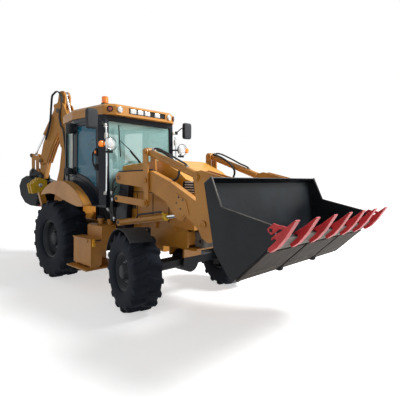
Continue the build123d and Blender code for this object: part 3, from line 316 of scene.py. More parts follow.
# %% Give each CAD node its finish
NODE_FINISH = {
    enamel: ["hood_side_panels", "loader_arms", "tilt_levers", "levelling_links", "tilt_barrels",
             "lift_barrels", "coupler", "kingpost", "boom", "stick", "right_tank", "toolbox",
             "toolbox_lid", "rear_fenders", "cab_roof", "stabiliser_left", "stabiliser_right",
             "rear_frame", "main_frame", "left_tank", "rocker", "bucket_link", "boom_barrel",
             "dipper_barrel", "curl_barrel"],
    painted_sunlit_hood_enamel: ["hood"],
    # the loader tower's black is painted shade on its shaded outside
    cab_black_and_tower_painted_shade: ["cab_frame", "door_left", "door_right", "cab_floor", "loader_tower"],
    frame_enamel: ["front_axle", "rear_axle", "engine_block", "steering_knuckle_left",
                   "steering_knuckle_right"],
    bucket_enamel: ["loader_bucket", "hoe_bucket"],
    red_enamel: ["bucket_teeth"],
    grey_iron: ["front_weight"],
    bright_steel: ["bucket_pins"],
    chrome: ["lift_rods", "tilt_rods", "boom_rod", "dipper_rod", "curl_rod"],
    window_glass: ["cab_glass"],
    louvre_steel: ["nose_grille"],
    seat_cloth: ["seat"],
    moulded_black: ["mirrors_and_rails", "lamps"],
}
for finish, names in NODE_FINISH.items():
    for name in names:
        nodes[name].data.materials.clear()
        nodes[name].data.materials.append(finish)
print("CAD nodes with a finish", sum(len(names) for names in NODE_FINISH.values()))

# %% [markdown]
# ## Surfaces from arrays
# Every added piece is a grid of points worked out as whole arrays. A round hose or rail is a circle
# carried along a smooth path, a lens or hub is a profile turned about an axis, and a moulded case is
# a superellipsoid, which is a ball pressed towards a box. Sizes are given in millimetres.

# %% Grids, tubes and turned pieces
# a tube steeper than this takes its sides from a skew way, because straight up would lie along it
STEEP = 0.95
SKEW = (0.31, 0.95, 0.07)


def quads(rows, columns, wrap_rows=False, wrap_columns=False):
    """The four corners of each cell of a grid of points numbered row by row."""
    first = np.arange(rows if wrap_rows else rows - 1)
    second = np.arange(columns if wrap_columns else columns - 1)
    i, j = np.meshgrid(first, second, indexing="ij")
    below, beside = (i + 1) % rows, (j + 1) % columns
    corners = [i * columns + j, below * columns + j, below * columns + beside, i * columns + beside]
    return np.stack(corners, -1).reshape(-1, 4).tolist()


def joined(parts):
    """Several (points, faces) surfaces as one, each with its corners renumbered."""
    faces, count = [], 0
    for points, more_faces in parts:
        faces.extend([corner + count for corner in face] for face in more_faces)
        count += len(points)
    return np.concatenate([points for points, more_faces in parts]), faces


def smooth_path(points, steps=8):
    """A curve through the points: each run is a cubic whose slope at a point is half the way between
    that point's neighbours."""
    ends = np.vstack([2 * points[0] - points[1], points, 2 * points[-1] - points[-2]])
    before, start, end, after = ends[:-3], ends[1:-2], ends[2:-1], ends[3:]
    t = np.linspace(0, 1, steps, endpoint=False)[None, :, None]
    slope0, slope1 = (end - before)[:, None] / 2, (after - start)[:, None] / 2
    start, end = start[:, None], end[:, None]
    run = ((2 * t**3 - 3 * t**2 + 1) * start + (t**3 - 2 * t**2 + t) * slope0
           + (3 * t**2 - 2 * t**3) * end + (t**3 - t**2) * slope1)
    return np.vstack([run.reshape(-1, 3), points[-1]])


def circle(side, top, steps):
    """Points of unit circles: the cosine of an angle along one axis and its sine along the other."""
    angle = np.linspace(0, 2 * np.pi, steps, endpoint=False)[:, None]
    return np.cos(angle) * side + np.sin(angle) * top


def tube(path, radius, sides):
    """A round tube: at each point of the path a circle stands square to the way from the point before
    to the point after. The ends are closed."""
    way = unit(np.gradient(path, axis=0))
    side = unit(np.cross(way, SKEW if np.abs(way[:, 2]).max() >= STEEP else UP))
    ring = circle(side[:, None], np.cross(side, way)[:, None], sides)
    faces = quads(len(path), sides, wrap_columns=True)
    faces += [list(range(sides))[::-1], [(len(path) - 1) * sides + k for k in range(sides)]]
    return (path[:, None] + radius / 1000 * ring).reshape(-1, 3), faces


def hose(points, radius, steps=8, sides=10, where=places):
    """A tube along a smooth path through places on the machine, or on the digging arm."""
    return tube(smooth_path(where(points), steps), radius, sides)


def turned(profile, centre, axis, steps=32):
    """A profile of (distance along the axis, radius) pairs turned about an axis through a centre."""
    axis = unit(np.asarray(axis, float))
    side = unit(np.cross(axis, AHEAD if abs(axis[2]) >= STEEP else UP))
    ring = circle(side, np.cross(axis, side), steps)
    along, radius = np.asarray(profile, float).T[:, :, None, None] / 1000
    return (centre + along * axis + radius * ring).reshape(-1, 3), quads(len(profile), steps, False, True)


print("a tube has", len(hose([(0, 0, 0), (100, 0, 0)], 10)[0]), "points in one run")

# %% Pressed balls, plates and rings
def pressed(value, squareness):
    """A number's size raised to a small power, with its sign kept."""
    value = np.round(value, 12)
    return np.sign(value) * np.abs(value) ** squareness


def pressed_ball(centre, half, squareness, rows, columns, axes=np.eye(3)):
    """A superellipsoid: the sines and cosines of a ball raised to a small power, which presses it
    towards a box with the given half sizes, turned by its axes."""
    v = np.linspace(-np.pi / 2, np.pi / 2, rows)[:, None]
    u = np.linspace(0, 2 * np.pi, columns, endpoint=False)[None, :]
    ring = pressed(np.cos(v), squareness)
    local = np.stack([ring * pressed(np.cos(u), squareness), ring * pressed(np.sin(u), squareness),
                      pressed(np.sin(v), squareness) * np.ones_like(u)], -1) * np.asarray(half) / 1000
    return (centre + local @ axes).reshape(-1, 3), quads(rows, columns, wrap_columns=True)


def case(centre, half, squareness=0.3, rows=14, columns=28):
    """A pressed ball at a place on the machine."""
    return pressed_ball(place(*centre), half, squareness, rows, columns)


def plate(outline, low, high, across=1):
    """A flat plate: an outline given thickness between two values of y, or of x with across = 0."""
    outline, count = np.asarray(outline, float), len(outline)
    points = np.vstack([places(np.insert(outline, across, level, axis=1)) for level in (low, high)])
    k = np.arange(count)
    walls = np.stack([k, k + count, (k + 1) % count + count, (k + 1) % count], -1).tolist()
    return points, [list(range(count)), list(range(2 * count - 1, count - 1, -1))] + walls


def ring_plate(outer, inner, low, high):
    """A flat ring: an outer and an inner outline with as many (x, z) points, joined corner to corner,
    with thickness between two y values."""
    count = len(outer)
    points = np.vstack([places(np.insert(line, 1, y, axis=1)) for y in (low, high)
                        for line in (outer, inner)])
    k = np.arange(count)
    n = (k + 1) % count
    flat = np.stack([k, n, n + count, k + count], -1)
    wall = np.stack([k, k + 2 * count, n + 2 * count, n], -1)
    return points, np.vstack([flat, flat + 2 * count, wall, wall + count]).tolist()


def seal(corners, radius, cut=0.03, sides=8):
    """A closed round tube: each corner is cut by a short run that starts and ends so many metres from
    it, and a circle stands square to the way from the point before to the point after."""
    corners = places(corners)
    before, after = (unit(np.roll(corners, step, 0) - corners) for step in (1, -1))
    path = np.stack([corners + cut * before, corners + 0.3 * cut * (before + after),
                     corners + cut * after], 1).reshape(-1, 3)
    way = unit(np.roll(path, -1, 0) - np.roll(path, 1, 0))
    flat = unit(np.cross(corners[1] - corners[0], corners[2] - corners[1]))
    ring = circle(np.cross(way, flat)[:, None], flat, sides)
    return (path[:, None] + radius / 1000 * ring).reshape(-1, 3), quads(len(path), sides, True, True)


print("a case has", len(case((0, 0, 0), (10, 10, 10))[0]), "points")

# %% [markdown]
# ## From surface to piece
# A surface becomes a mesh object with one finish. It rides on the CAD body that carries it, and hides
# the CAD nodes it stands for. What stands on both sides is drawn once, on the left, and mirrored.

# %% Pieces
SIDES = (("right", -1), ("left", 1))


def solid(name, surface, finish, body="chassis", replaced=(), bevel=None):
    """Makes an object from (points, faces), with doubled points merged and its faces turned outwards.
    With no body it is left unattached. It is smooth, or flat with edges rounded by so
    many metres."""
    points, faces = surface
    mesh = bpy.data.meshes.new(name)
    mesh.from_pydata(points.tolist(), [], faces)
    mesh.validate()
    work = bmesh.new()
    work.from_mesh(mesh)
    bmesh.ops.remove_doubles(work, verts=work.verts, dist=1e-5)
    bmesh.ops.recalc_face_normals(work, faces=work.faces)
    work.to_mesh(mesh)
    work.free()
    mesh.polygons.foreach_set("use_smooth", np.full(len(mesh.polygons), bevel is None))
    mesh.materials.append(finish)
    piece = bpy.data.objects.new(name, mesh)
    bpy.context.scene.collection.objects.link(piece)
    if bevel:
        edge = piece.modifiers.new("soft_edges", "BEVEL")
        edge.width = bevel
        edge.segments = 2
        edge.limit_method = "ANGLE"
    if body:
        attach(piece, body)
    if replaced:
        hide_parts(*replaced)
    return piece


def mirrored(surface, side):
    """A surface drawn on the left, or with side = -1 its mirror image: y changes its sign."""
    points, faces = surface
    return points * [1, side, 1], faces


def both_sides(name, surface, finish, body="chassis", replaced=(), bevel=None):
    """A piece on each side. Braces in a body's or a node's name stand for the side."""
    for side_name, side in SIDES:
        solid(f"{name}_{side_name}", mirrored(surface, side), finish, body.format(side_name),
              [node.format(side_name) for node in replaced], bevel)


print("meshes before the first added piece", len(bpy.data.meshes))

# %% [markdown]
# ## Tyres
# Tractor-type tyres have tall rubber bars set at an angle, running from the middle of the tread over
# the shoulder. The tyre is one grid round the wheel and across its section. The bars are a height
# added to that grid: each is a smooth step in the distance from a slanted line.

# %% Tyre and rim surfaces
BAR_HEIGHT = 38
POINTS_PER_BAR = 36
TREAD_COLUMNS = 47


def smooth_step(value):
    """0 below 0 and 1 above 1, and between them three squares less two cubes."""
    value = np.clip(value, 0, 1)
    return value ** 2 * (3 - 2 * value)


def tyre_surface(radius, width, rim_radius, bars, centre, axle):
    """Points round the wheel and over the section, from bead to bead. The bar height is a smooth step
    across a line that slants back from the tread's middle to its shoulder, and the bars of one half
    stand between those of the other."""
    carcass = radius - BAR_HEIGHT
    # columns: share of the half width, radius
    section = np.array([
        (-0.78, rim_radius + 2), (-0.90, rim_radius + 12), (-0.97, rim_radius + 50),
        (-1.00, 0.5 * (rim_radius + carcass)), (-0.99, carcass - 75), (-0.95, carcass - 35),
        (-0.86, carcass - 10), (-0.60, carcass - 1), (-0.25, carcass), (0.0, carcass),
    ])
    section = np.vstack([section, section[-2::-1] * [-1, 1]])
    along = np.linspace(0, len(section) - 1, TREAD_COLUMNS)[None, :]
    share, base = (np.interp(along, np.arange(len(section)), column) for column in section.T)
    turn = np.linspace(0, 2 * np.pi, POINTS_PER_BAR * bars, endpoint=False)[:, None]
    reach, pitch = np.abs(share), 2 * np.pi / bars
    slant = (6 + 52 * reach ** 1.4) / carcass
    offset = np.where(share >= 0, 0.5, 0.0) * pitch
    phase = (turn + slant - offset + pitch / 2) % pitch - pitch / 2
    half_bar = (20 + 12 * reach) / carcass
    bar = smooth_step((half_bar - np.abs(phase)) * carcass / 10 + 0.5)
    bar = bar * smooth_step((base - carcass + 85) / 50) * smooth_step((reach - 0.015) / 0.05)
    crown = radius - 10 * reach ** 3 - 22 * smooth_step((reach - 0.82) / 0.2)
    grown = np.where(base > carcass - 90, base + bar * np.maximum(crown - base, 0), base)
    across = np.broadcast_to(share * width / 2, grown.shape)
    local = np.stack([grown * np.sin(turn), across, grown * np.cos(turn)], -1) / 1000
    points = centre + local @ np.array([np.cross(axle, UP), axle, UP])
    return points.reshape(-1, 3), quads(len(turn), TREAD_COLUMNS, wrap_rows=True)


def rim_surface(radius, width, disc, hub_radius, hub_length, centre, axle):
    """A dished wheel: the profile goes from the inner flange through the well to the outer flange, then
    back in over the dished disc to the hub's cap."""
    half = width / 2
    profile = [
        (-half * 0.80, radius - 16), (-half * 0.80, radius + 14), (-half * 0.76, radius + 14),
        (-half * 0.74, radius - 2), (-half * 0.3, radius - 12), (half * 0.3, radius - 12),
        (half * 0.74, radius - 2), (half * 0.76, radius + 14), (half * 0.80, radius + 14),
        (half * 0.80, radius - 16), (half * 0.45, radius - 30), (disc + 30, radius - 45),
        (disc + 8, radius * 0.80), (disc + 20, radius * 0.66), (disc + 8, radius * 0.60),
        (disc + 8, hub_radius + 2), (disc + hub_length - 12, hub_radius - 4),
        (disc + hub_length, hub_radius - 16), (disc + hub_length, 0),
    ]
    return turned(profile, centre, axle, 64)


print("the tread has", TREAD_COLUMNS, "points across it")

# %% Wheels
# columns: tyre radius, tyre width, rim radius, bars, place of the disc, hub radius, hub length
WHEELS = {"front": (511, 390, 240, 16, 60, 95, 110), "rear": (652, 463, 310, 18, 40, 120, 100)}
NUTS = 8
NUT = [(0, 0), (0, 17), (26, 17), (26, 9), (45, 9), (46, 0)]
for end, (radius, width, rim_radius, bars, disc, hub_radius, hub_length) in WHEELS.items():
    for side_name, side in SIDES:
        joint, body = joints[f"{end}_wheel_spin_{side_name}"], f"{end}_wheel_{side_name}"
        centre = np.array([*joint["pos_m"][:2], radius / 1000])
        axle = np.array(joint["axis"]) * side
        solid(f"{end}_lug_tyre_{side_name}", tyre_surface(radius, width, rim_radius, bars, centre, axle),
              tyre_rubber, body, [f"{end}_tyre_{side_name}"])
        solid(f"{end}_dished_rim_{side_name}",
              rim_surface(rim_radius, width, disc, hub_radius, hub_length, centre, axle),
              rim_enamel, body, [f"{end}_rim_{side_name}"])
        studs = []
        for angle in 2 * math.pi * np.arange(NUTS) / NUTS:
            way = math.cos(angle) * np.cross(axle, UP) + math.sin(angle) * UP
            foot = centre + (disc * axle + (hub_radius + 35) * way) / 1000
            studs.append(turned(NUT, foot, axle, 6))
        solid(f"{end}_wheel_nuts_{side_name}", joined(studs), bright_steel, body, bevel=0)
print("wheels", len(WHEELS) * len(SIDES))

# %% [markdown]
# ## Doors and window seals
# A cab door is a welded ring of square tube round one tinted pane, held by a black rubber seal. The ring
# is made from its outer and inner outlines, and everything on the door rides with it.

# %% Doors
DOOR = {"body": "door_{}", "replaced": ["door_{}"]}
DOOR_OUTER = [(1094, 1381), (1069, 2594), (356, 2594), (356, 1727), (703, 1642), (964, 1502), (1051, 1404),
              (1053, 1381)]
DOOR_INNER = [(1046, 1500), (1022, 2545), (405, 2545), (405, 1775), (735, 1690), (985, 1556), (1030, 1504),
              (1036, 1500)]
PANE = DOOR_INNER[:7]
HANDLE = [(1035, 768, 2100), (1020, 800, 2070), (1026, 806, 1960), (1052, 800, 1880), (1058, 768, 1850)]
both_sides("door_ring", ring_plate(DOOR_OUTER, DOOR_INNER, 712, 750), cab_black_and_tower_painted_shade, bevel=0.006, **DOOR)
both_sides("door_pane", plate(PANE, 732, 738), door_glass, bevel=0, **DOOR)
both_sides("door_seal", seal([(x, 742, z) for x, z in PANE], 12), seal_rubber, **DOOR)
both_sides("door_handle", joined([hose(HANDLE, 13), case((1040, 758, 2090), (34, 16, 62)),
                                  case((1050, 758, 1860), (34, 16, 50))]), moulded_black, **DOOR)
# the lock cap takes the amber lens finish, whose faint glow there is painted light
both_sides("door_lock", turned([(0, 0), (0, 24), (12, 22), (16, 0)], place(1040, 772, 2090), LEFT, 20),
           amber_lens, "door_{}")
leaves = []
for hinge_z in (1790, 2480):
    leaves.append(turned([(0, 0), (0, 13), (56, 13), (56, 0)], place(353, 764, hinge_z + 2), UP, 20))
    leaves.append(case((392, 756, hinge_z + 30), (34, 9, 26), 0.2))
both_sides("door_hinges", joined(leaves), frame_enamel, **DOOR)
print("door outline points", len(DOOR_OUTER))

# %% Seals of the fixed windows
SCREEN = [(1202, -628, 1362), (1156, -628, 2588), (1156, 628, 2588), (1202, 628, 1362)]
REAR_WINDOW = [(-300, -528, 1702), (-300, -528, 2588), (-300, 528, 2588), (-300, 528, 1702)]
QUARTER = [(278, 746, 1722), (278, 746, 2598), (-228, 626, 2598), (-228, 626, 1722)]
solid("windscreen_seal", seal(SCREEN, 14), seal_rubber)
solid("rear_window_seal", seal(REAR_WINDOW, 14), seal_rubber)
both_sides("quarter_seal", seal(QUARTER, 12), seal_rubber)
print("window seals", 2 + len(SIDES))

# %% [markdown]
# ## Inside the cab
# Through the glass show a pale moulded dash cowl, the wheel, and a seat with a sprung base. Its
# cushions are crowned foam forms with sewn channels: a pressed ball whose height is lowered along lines.

# %% Dash and seat
CHANNEL = 0.012
solid("dash_cowl", joined([case((1072, 0, 1545), (86, 372, 170), 0.35),
                           case((1090, -500, 1610), (62, 120, 235), 0.35),
                           case((1085, -560, 1900), (30, 60, 90), 0.4)]), dash_plastic)
solid("instrument_hood", case((1050, 0, 1755), (60, 150, 45), 0.5), moulded_black)


def cushion(name, centre, half, axes, channels):
    """A crowned pad: a pressed ball whose front face is lowered by a narrow bell curve at each channel,
    a share of the half length from the middle. The curve is as deep as it is wide."""
    points, faces = pressed_ball((0, 0, 0), half, 0.45, 40, 64)
    across = points[:, :1] - np.reshape(channels, (1, -1)) * half[0] / 1000
    depth = CHANNEL * np.exp(-(across / CHANNEL) ** 2).sum(axis=1)
    points[:, 2] -= depth * np.clip(points[:, 2] * 1000 / half[2], 0, 1)
    pad = solid(name, (centre + points @ axes, faces), seat_cloth, replaced=["seat"])


LEAN_BACK = np.array([(-0.14, 0, 0.99), (0, 1, 0), (0.99, 0, 0.14)])
cushion("seat_cushion", place(390, 0, 1618), (235, 245, 68), np.eye(3), (-0.4, 0.1, 0.6))
cushion("seat_backrest", place(118, 0, 1895), (300, 225, 62), LEAN_BACK, (-0.5, 0.0, 0.5))
cushion("seat_headrest", place(82, 0, 2292), (105, 130, 42), LEAN_BACK, ())
armrests = [case((210, y, 1640), (170, 38, 70), 0.3) for y in (-290, 290)]
headrest_bars = [hose([(95, y, 2150), (85, y, 2260)], 8) for y in (-60, 60)]
solid("seat_base", joined([case((370, 0, 1490), (170, 170, 62), 0.25)] + headrest_bars + armrests),
      moulded_black, replaced=["seat"])
print("cushions made, with channels", CHANNEL, "m deep")

# %% [markdown]
# ## Wiper, lamps and beacon
# Work lamps sit in a recess of the roof's front, whose dark is painted shade on a black case. A lamp
# is a turned bowl with a bright ring and a domed lens, and the wiper is a thin arm that carries a rubber
# blade.

# %% Wiper
wiper = [hose([(1232, -481, 2520), (1246, -450, 2024)], 9), hose([(1222, -462, 2290), (1240, -250, 2130)], 6),
         hose([(1240, -262, 2129), (1250, -70, 1945)], 17), hose([(1232, -300, 2180), (1246, -110, 1990)], 6)]
solid("wiper", joined(wiper), moulded_black)
print("wiper rods", len(wiper))

# %% Roof lamps and beacon
LAMPS = {"replaced": ["lamps"]}
ROOF = 2665
LAMP_Z = ROOF + 85
WORK_LAMPS = (-240, -100, 40, 250)
RING = [(0, 0), (0, 44), (12, 47), (18, 43), (14, 38), (6, 36), (4, 0)]
DOME = [(4, 37.1), (12, 34), (18, 24), (21, 0)]
# the recess behind the work lamps is a black case: painted shade
solid("lamp_recess", case((1270, 45, LAMP_Z), (6, 372, 43), 0.15), seam_and_painted_shade_black)
for number, lamp_y in enumerate(WORK_LAMPS):
    solid(f"work_lamp_{number}", case((1277, lamp_y, LAMP_Z), (11, 57, 34), 0.2), reflector, **LAMPS)
    solid(f"work_lamp_lens_{number}", case((1284, lamp_y, LAMP_Z), (8, 51, 29), 0.25), clear_lens, **LAMPS)
round_lamp = place(1291, 500, LAMP_Z)
both_sides("round_lamp_ring", turned(RING, round_lamp, AHEAD), reflector, **LAMPS)
both_sides("round_lamp_lens", turned(DOME, round_lamp, AHEAD), clear_lens, **LAMPS)
corner, outward = place(1236, 641, ROOF + 82), (0.824, 0.567, 0)
both_sides("corner_lamp", turned(RING, corner, outward), moulded_black)
both_sides("corner_lens", turned(DOME, corner, outward), red_lens)
both_sides("rear_lamp", case((-371, 420, ROOF + 70), (12, 68, 38), 0.25), reflector, **LAMPS)

beacon = place(1030, -600, ROOF + 171)
solid("beacon_foot", turned([(0, 0), (0, 62), (20, 64), (30, 56), (30, 0)], beacon, UP), moulded_black,
      **LAMPS)
ribs = np.linspace(30, 125, 20)
ribbed = np.stack([ribs, 52 + 2.5 * np.sin(0.42 * ribs)], -1).tolist()
solid("beacon_dome", turned([(30, 0)] + ribbed + [(134, 44), (139, 25), (140, 0)], beacon, UP), amber_lens,
      **LAMPS)
print("work lamps", len(WORK_LAMPS))

# %% Head lamps on their brackets
HEAD_LAMP_Y = 730
GUARD_Z, GUARD_HALF_WIDTH, GUARD_HALF_HEIGHT = 2198, 112, 100
BOWL = [(-75, 0), (-75, 30), (-55, 58), (-15, 76), (0, 79), (6, 76), (2, 70), (-4, 0)]
HEAD_RING = [(-4, 69), (8, 71), (10, 80), (0, 83), (-8, 80), (-4, 69)]
HEAD_DOME = [(0, 70), (9, 62), (15, 40), (18, 0)]
head_lamp = place(1384, HEAD_LAMP_Y, 2200)
both_sides("head_lamp", turned(BOWL, head_lamp, AHEAD, 40), moulded_black, **LAMPS)
both_sides("head_lamp_ring", turned(HEAD_RING, head_lamp, AHEAD, 40), chrome, **LAMPS)
both_sides("head_lamp_lens", turned(HEAD_DOME, head_lamp, AHEAD, 40), clear_lens, **LAMPS)
both_sides("indicator", case((1366, 858, 2192), (26, 48, 46), 0.7), amber_lens, **LAMPS)
bracket = joined([hose([(1180, 664, 2197), (1250, 690, 2197), (1310, HEAD_LAMP_Y, 2197)], 14),
                  hose([(1300, HEAD_LAMP_Y, 2197), (1330, 800, 2192), (1345, 850, 2192)], 12),
                  hose([(1350, HEAD_LAMP_Y, 2140), (1355, HEAD_LAMP_Y, 2095)], 9),
                  case((1360, HEAD_LAMP_Y, 2084), (20, 60, 17), 0.25),
                  case((1318, HEAD_LAMP_Y, 2200), (26, 40, 40), 0.6)])
for side_name, side in SIDES:
    # the guard wire is open towards the machine's left on both lamps
    guard = [(1392, side * HEAD_LAMP_Y + GUARD_HALF_WIDTH * math.cos(angle),
              GUARD_Z + GUARD_HALF_HEIGHT * math.sin(angle)) for angle in np.linspace(0.3, 5.98, 20)]
    solid(f"head_lamp_bracket_{side_name}", joined([mirrored(bracket, side), hose(guard, 5, 3, 8)]),
          moulded_black, **LAMPS)
solid("side_work_lamp", joined([case((262, -800, 2520), (84, 48, 86), 0.4),
                                hose([(262, -790, 2520), (262, -735, 2560)], 16)]), moulded_black)
solid("fender_lamp", joined([case((232, -812, 1800), (88, 46, 58), 0.35),
                             hose([(240, -812, 1760), (260, -812, 1630)], 14)]), moulded_black)
print("head lamps stand", 2 * HEAD_LAMP_Y, "mm apart")

# %% [markdown]
# ## Mirrors and grab rails
# A mirror is a moulded case on a bent arm from the front post, with its glass towards the driver. The
# grab rails are chromed tubes held off the posts by white nylon blocks.

# %% Mirrors and rails
RAILS = {"replaced": ["mirrors_and_rails"]}
MIRROR_ARM = [(1150, 690, 2480), (1190, 740, 2500), (1245, 850, 2600), (1262, 930, 2625)]
GRAB_RAIL = [(1196, 684, 1455), (1240, 700, 1470), (1256, 704, 1560), (1256, 704, 1900), (1250, 704, 2180),
             (1238, 704, 2420), (1200, 700, 2500), (1172, 684, 2505)]
both_sides("mirror_case", case((1262, 965, 2560), (40, 88, 145), 0.3, 20, 36), mirror_shell, **RAILS)
both_sides("mirror_glass", case((1223, 965, 2560), (5, 74, 128), 0.2), mirror_glass, **RAILS)
both_sides("mirror_arm", joined([hose(MIRROR_ARM, 10), case((1200, 760, 2512), (24, 24, 30), 0.5)]),
           moulded_black, **RAILS)
both_sides("grab_rail", hose(GRAB_RAIL, 13), chrome, **RAILS)
both_sides("grab_rail_blocks", joined([case((1212, 696, 1462), (22, 20, 26)),
                                       case((1196, 696, 2498), (22, 20, 26)),
                                       case((1236, 704, 2330), (20, 22, 48))]), white_plastic, **RAILS)
print("grab rails reach up to", max(z for x, y, z in GRAB_RAIL), "mm")

# %% [markdown]
# ## Hydraulic lines
# Oil reaches the cylinders through rubber hoses with crimped steel ends. Each is clipped at both ends,
# so it is a fixed piece: a circle carried along a smooth path. The loop at the lever's foot is left
# unattached, in place.

# %% Lines of the loader
ARM_PIPE = [(1480, 640, 1793), (1800, 640, 1800), (2150, 640, 1806), (2240, 600, 1812)]
LEVER_LOOP = [(2232, 566, 1796), (2400, 560, 1722), (2578, 556, 1676), (2672, 554, 1704), (2708, 556, 1805),
              (2640, 560, 1900), (2535, 564, 1974), (2400, 562, 2040), (2271, 562, 2077)]
TILT_LINE = [(2262, 618, 2092), (2380, 614, 2082), (2573, 614, 2008), (2760, 612, 1925), (2880, 620, 1878),
             (2925, 620, 1842)]
LIFT_LINE = [(1935, 640, 1120), (1960, 648, 1165), (2020, 650, 1196), (2250, 650, 1232), (2440, 640, 1262),
             (2490, 630, 1240)]
TOWER_LINES = [
    [(1330, 585, 1560), (1390, 670, 1500), (1420, 704, 1376), (1430, 706, 1200), (1470, 704, 1090)],
    [(1320, 560, 1700), (1370, 660, 1640), (1390, 700, 1480), (1385, 706, 1250), (1400, 700, 1060)],
    [(1300, 720, 1240), (1380, 716, 1180), (1440, 708, 1130), (1490, 704, 1070)],
]
both_sides("arm_pipe", hose(ARM_PIPE, 9), hose_rubber, "arms")
for side_name, side in SIDES:
    loop = solid(f"lever_loop_{side_name}", mirrored(hose(LEVER_LOOP, 15, 6, 12), side), hose_rubber, None)
    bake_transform(loop)
both_sides("tilt_line", hose(TILT_LINE, 12), hose_rubber, "tilt_barrels")
both_sides("lift_line", hose(LIFT_LINE, 13), hose_rubber, "lift_barrels")
both_sides("tower_lines", joined([hose(line, 14) for line in TOWER_LINES]), hose_rubber)
print("tower lines on each side", len(TOWER_LINES))

# %% Crimped ends of the lines
FITTING = [(0, 0), (0, 20), (30, 20), (32, 16), (55, 16), (56, 0)]
GLAND = [(0, 24.5), (0, 50), (30, 52), (40, 46), (40, 24.5), (0, 24.5)]
DOWN = (0, 0, -1)


def fittings(rows):
    """Crimped hose ends, each from a place and the way that it points."""
    return [turned(FITTING, place(*where), way, 12) for where, way in rows]


both_sides("tower_fittings", joined(fittings([
    ((1420, 704, 1400), DOWN), ((1462, 704, 1120), (0.3, 0, -1)), ((1390, 700, 1500), DOWN),
    ((1310, 720, 1235), (0.8, 0, -0.6))])), bright_steel, bevel=0)
both_sides("tilt_fittings", joined(fittings([((2925, 620, 1852), DOWN), ((2266, 618, 2102), (0.3, 0, -1))])),
           bright_steel, "tilt_barrels", bevel=0)
both_sides("lift_fittings", joined(fittings([((2490, 630, 1258), DOWN)])
                                   + [turned(GLAND, place(2517, 620, 1200), (0.988, 0, 0.155))]),
           pad_enamel, "lift_barrels")
print("a fitting is", FITTING[-1][0], "mm long")

# %% [markdown]
# ## Pins, bolts and trim
# Each pin ends in a cap held by a small bolt. They are turned profiles, laid out from one table.

# %% Pin caps and bolts
# columns of a cap's profile: shares of its thickness and of its radius
CAP = [(-0.004, 0), (-0.004, 0.9), (0.6, 0.9), (0.8, 0.75), (0.8, 0.4), (1.0, 0.35), (1.0, 0)]
# columns: piece, body, x, y of the face, z, radius, thickness (millimetres)
CAPS = [
    ("arm_pivot_cap", "arms", 1525, 665, 1700, 40, 14), ("arm_bolt_1", "arms", 2790, 672, 1400, 14, 10),
    ("arm_bolt_2", "arms", 2860, 672, 1330, 14, 10), ("arm_bolt_3", "arms", 2900, 672, 1440, 14, 10),
    ("arm_bolt_4", "arms", 2830, 672, 1470, 14, 10), ("lever_top_cap", "levers", 2185, 705, 2050, 38, 14),
    ("lever_middle_cap", "levers", 2197, 705, 1667, 40, 14),
    ("lever_foot_cap", "levers", 2220, 738, 1366, 34, 12),
    ("tilt_pin_cap", "bucket", 3151, 709, 1717, 44, 14),
    ("coupler_bolt_1", "bucket", 3330, 697, 1640, 16, 12),
    ("coupler_bolt_2", "bucket", 3480, 697, 1400, 16, 12),
    ("coupler_bolt_3", "bucket", 3420, 697, 1180, 16, 12),
    ("bucket_pin_cap", "bucket_pins", 3270, 703, 1185, 46, 16),
    ("tower_bolt_1", "chassis", 1540, 560, 1330, 16, 12),
]


def pin_cap(centre, way, radius, thick):
    """The cap's profile, stretched to a thickness and a radius, and turned."""
    return turned(np.array(CAP) * (thick, radius), centre, way, 24)


for name, body, x, face, z, radius, thick in CAPS:
    finish = grey_iron if "bolt" in name else enamel
    both_sides(name, pin_cap(place(x, face, z), LEFT, radius, thick), finish, body)
print("pin caps and bolts on each side", len(CAPS))

# %% Fillers, padlock and panel seams
SHACKLE = [(1312, -959, 740), (1312, -959, 766), (1312, -945, 780), (1312, -931, 766), (1312, -931, 740)]
solid("filler_cap", joined([
    turned([(0, 0), (0, 60), (35, 60), (45, 50), (46, 0)], place(1000, -640, 1062), UP, 36),
    hose([(1000, -640, 1105), (1010, -660, 1118), (1040, -680, 1100)], 7)]), moulded_black)
solid("second_filler_cap", turned([(0, 0), (0, 44), (22, 44), (28, 36), (29, 0)], place(1190, -600, 1031),
                                  UP), enamel)
solid("padlock", joined([case((1312, -945, 718), (13, 24, 30), 0.4), hose(SHACKLE, 4)]), brass, "toolbox_lid")
solid("lid_strap", case((1303, -945, 770), (5, 18, 30), 0.2), brass, "toolbox_lid")
solid("lid_handle", case((1303, -865, 770), (6, 50, 8), 0.4), moulded_black, "toolbox_lid")
solid("under_cab_shroud", joined([case((930, y, 1110), (330, 9, 128), 0.12) for y in (-425, 425)]),
      frame_enamel)
# columns: x, z, half length, half height
SEAMS = [(1700, 1290, 4, 200), (2060, 1310, 4, 185), (2400, 1280, 4, 180), (2010, 1497, 680, 5)]
solid("panel_seams", joined([case((x, y, z), (long, 4, tall), 0.3, 8, 12) for y in (-453, 453)
                             for x, z, long, tall in SEAMS]), seam_and_painted_shade_black)
# the vent slots are black cases: painted shade in the openings
solid("side_vent_slots", joined([case((x, y, 1300), (16, 5, 62), 0.4, 8, 16) for y in (-452, 452)
                                 for x in range(1520, 1680, 45)]), seam_and_painted_shade_black)
print("panel seams on each side", len(SEAMS))

# %% [markdown]
# ## Rear fenders
# A fender is an arched sheet over the tyre. Its outer part is painted and turns down in a lens-shaped
# skirt, and its inner part beside the cab is black.

# %% Fender sheets and skirts
def arc_through(first, middle, last, count=28):
    """Points of the circle through three (x, z) points: its centre is as far from all three, which is
    a pair of linear equations."""
    first, middle, last = (np.asarray(point, float) for point in (first, middle, last))
    rows = 2 * np.array([middle - first, last - first])
    centre = np.linalg.solve(rows, [middle @ middle - first @ first, last @ last - first @ first])
    angles = [math.atan2(*(point - centre)[::-1]) for point in (first, last)]
    turn = np.linspace(*angles, count)
    return centre + np.linalg.norm(first - centre) * np.stack([np.cos(turn), np.sin(turn)], -1)


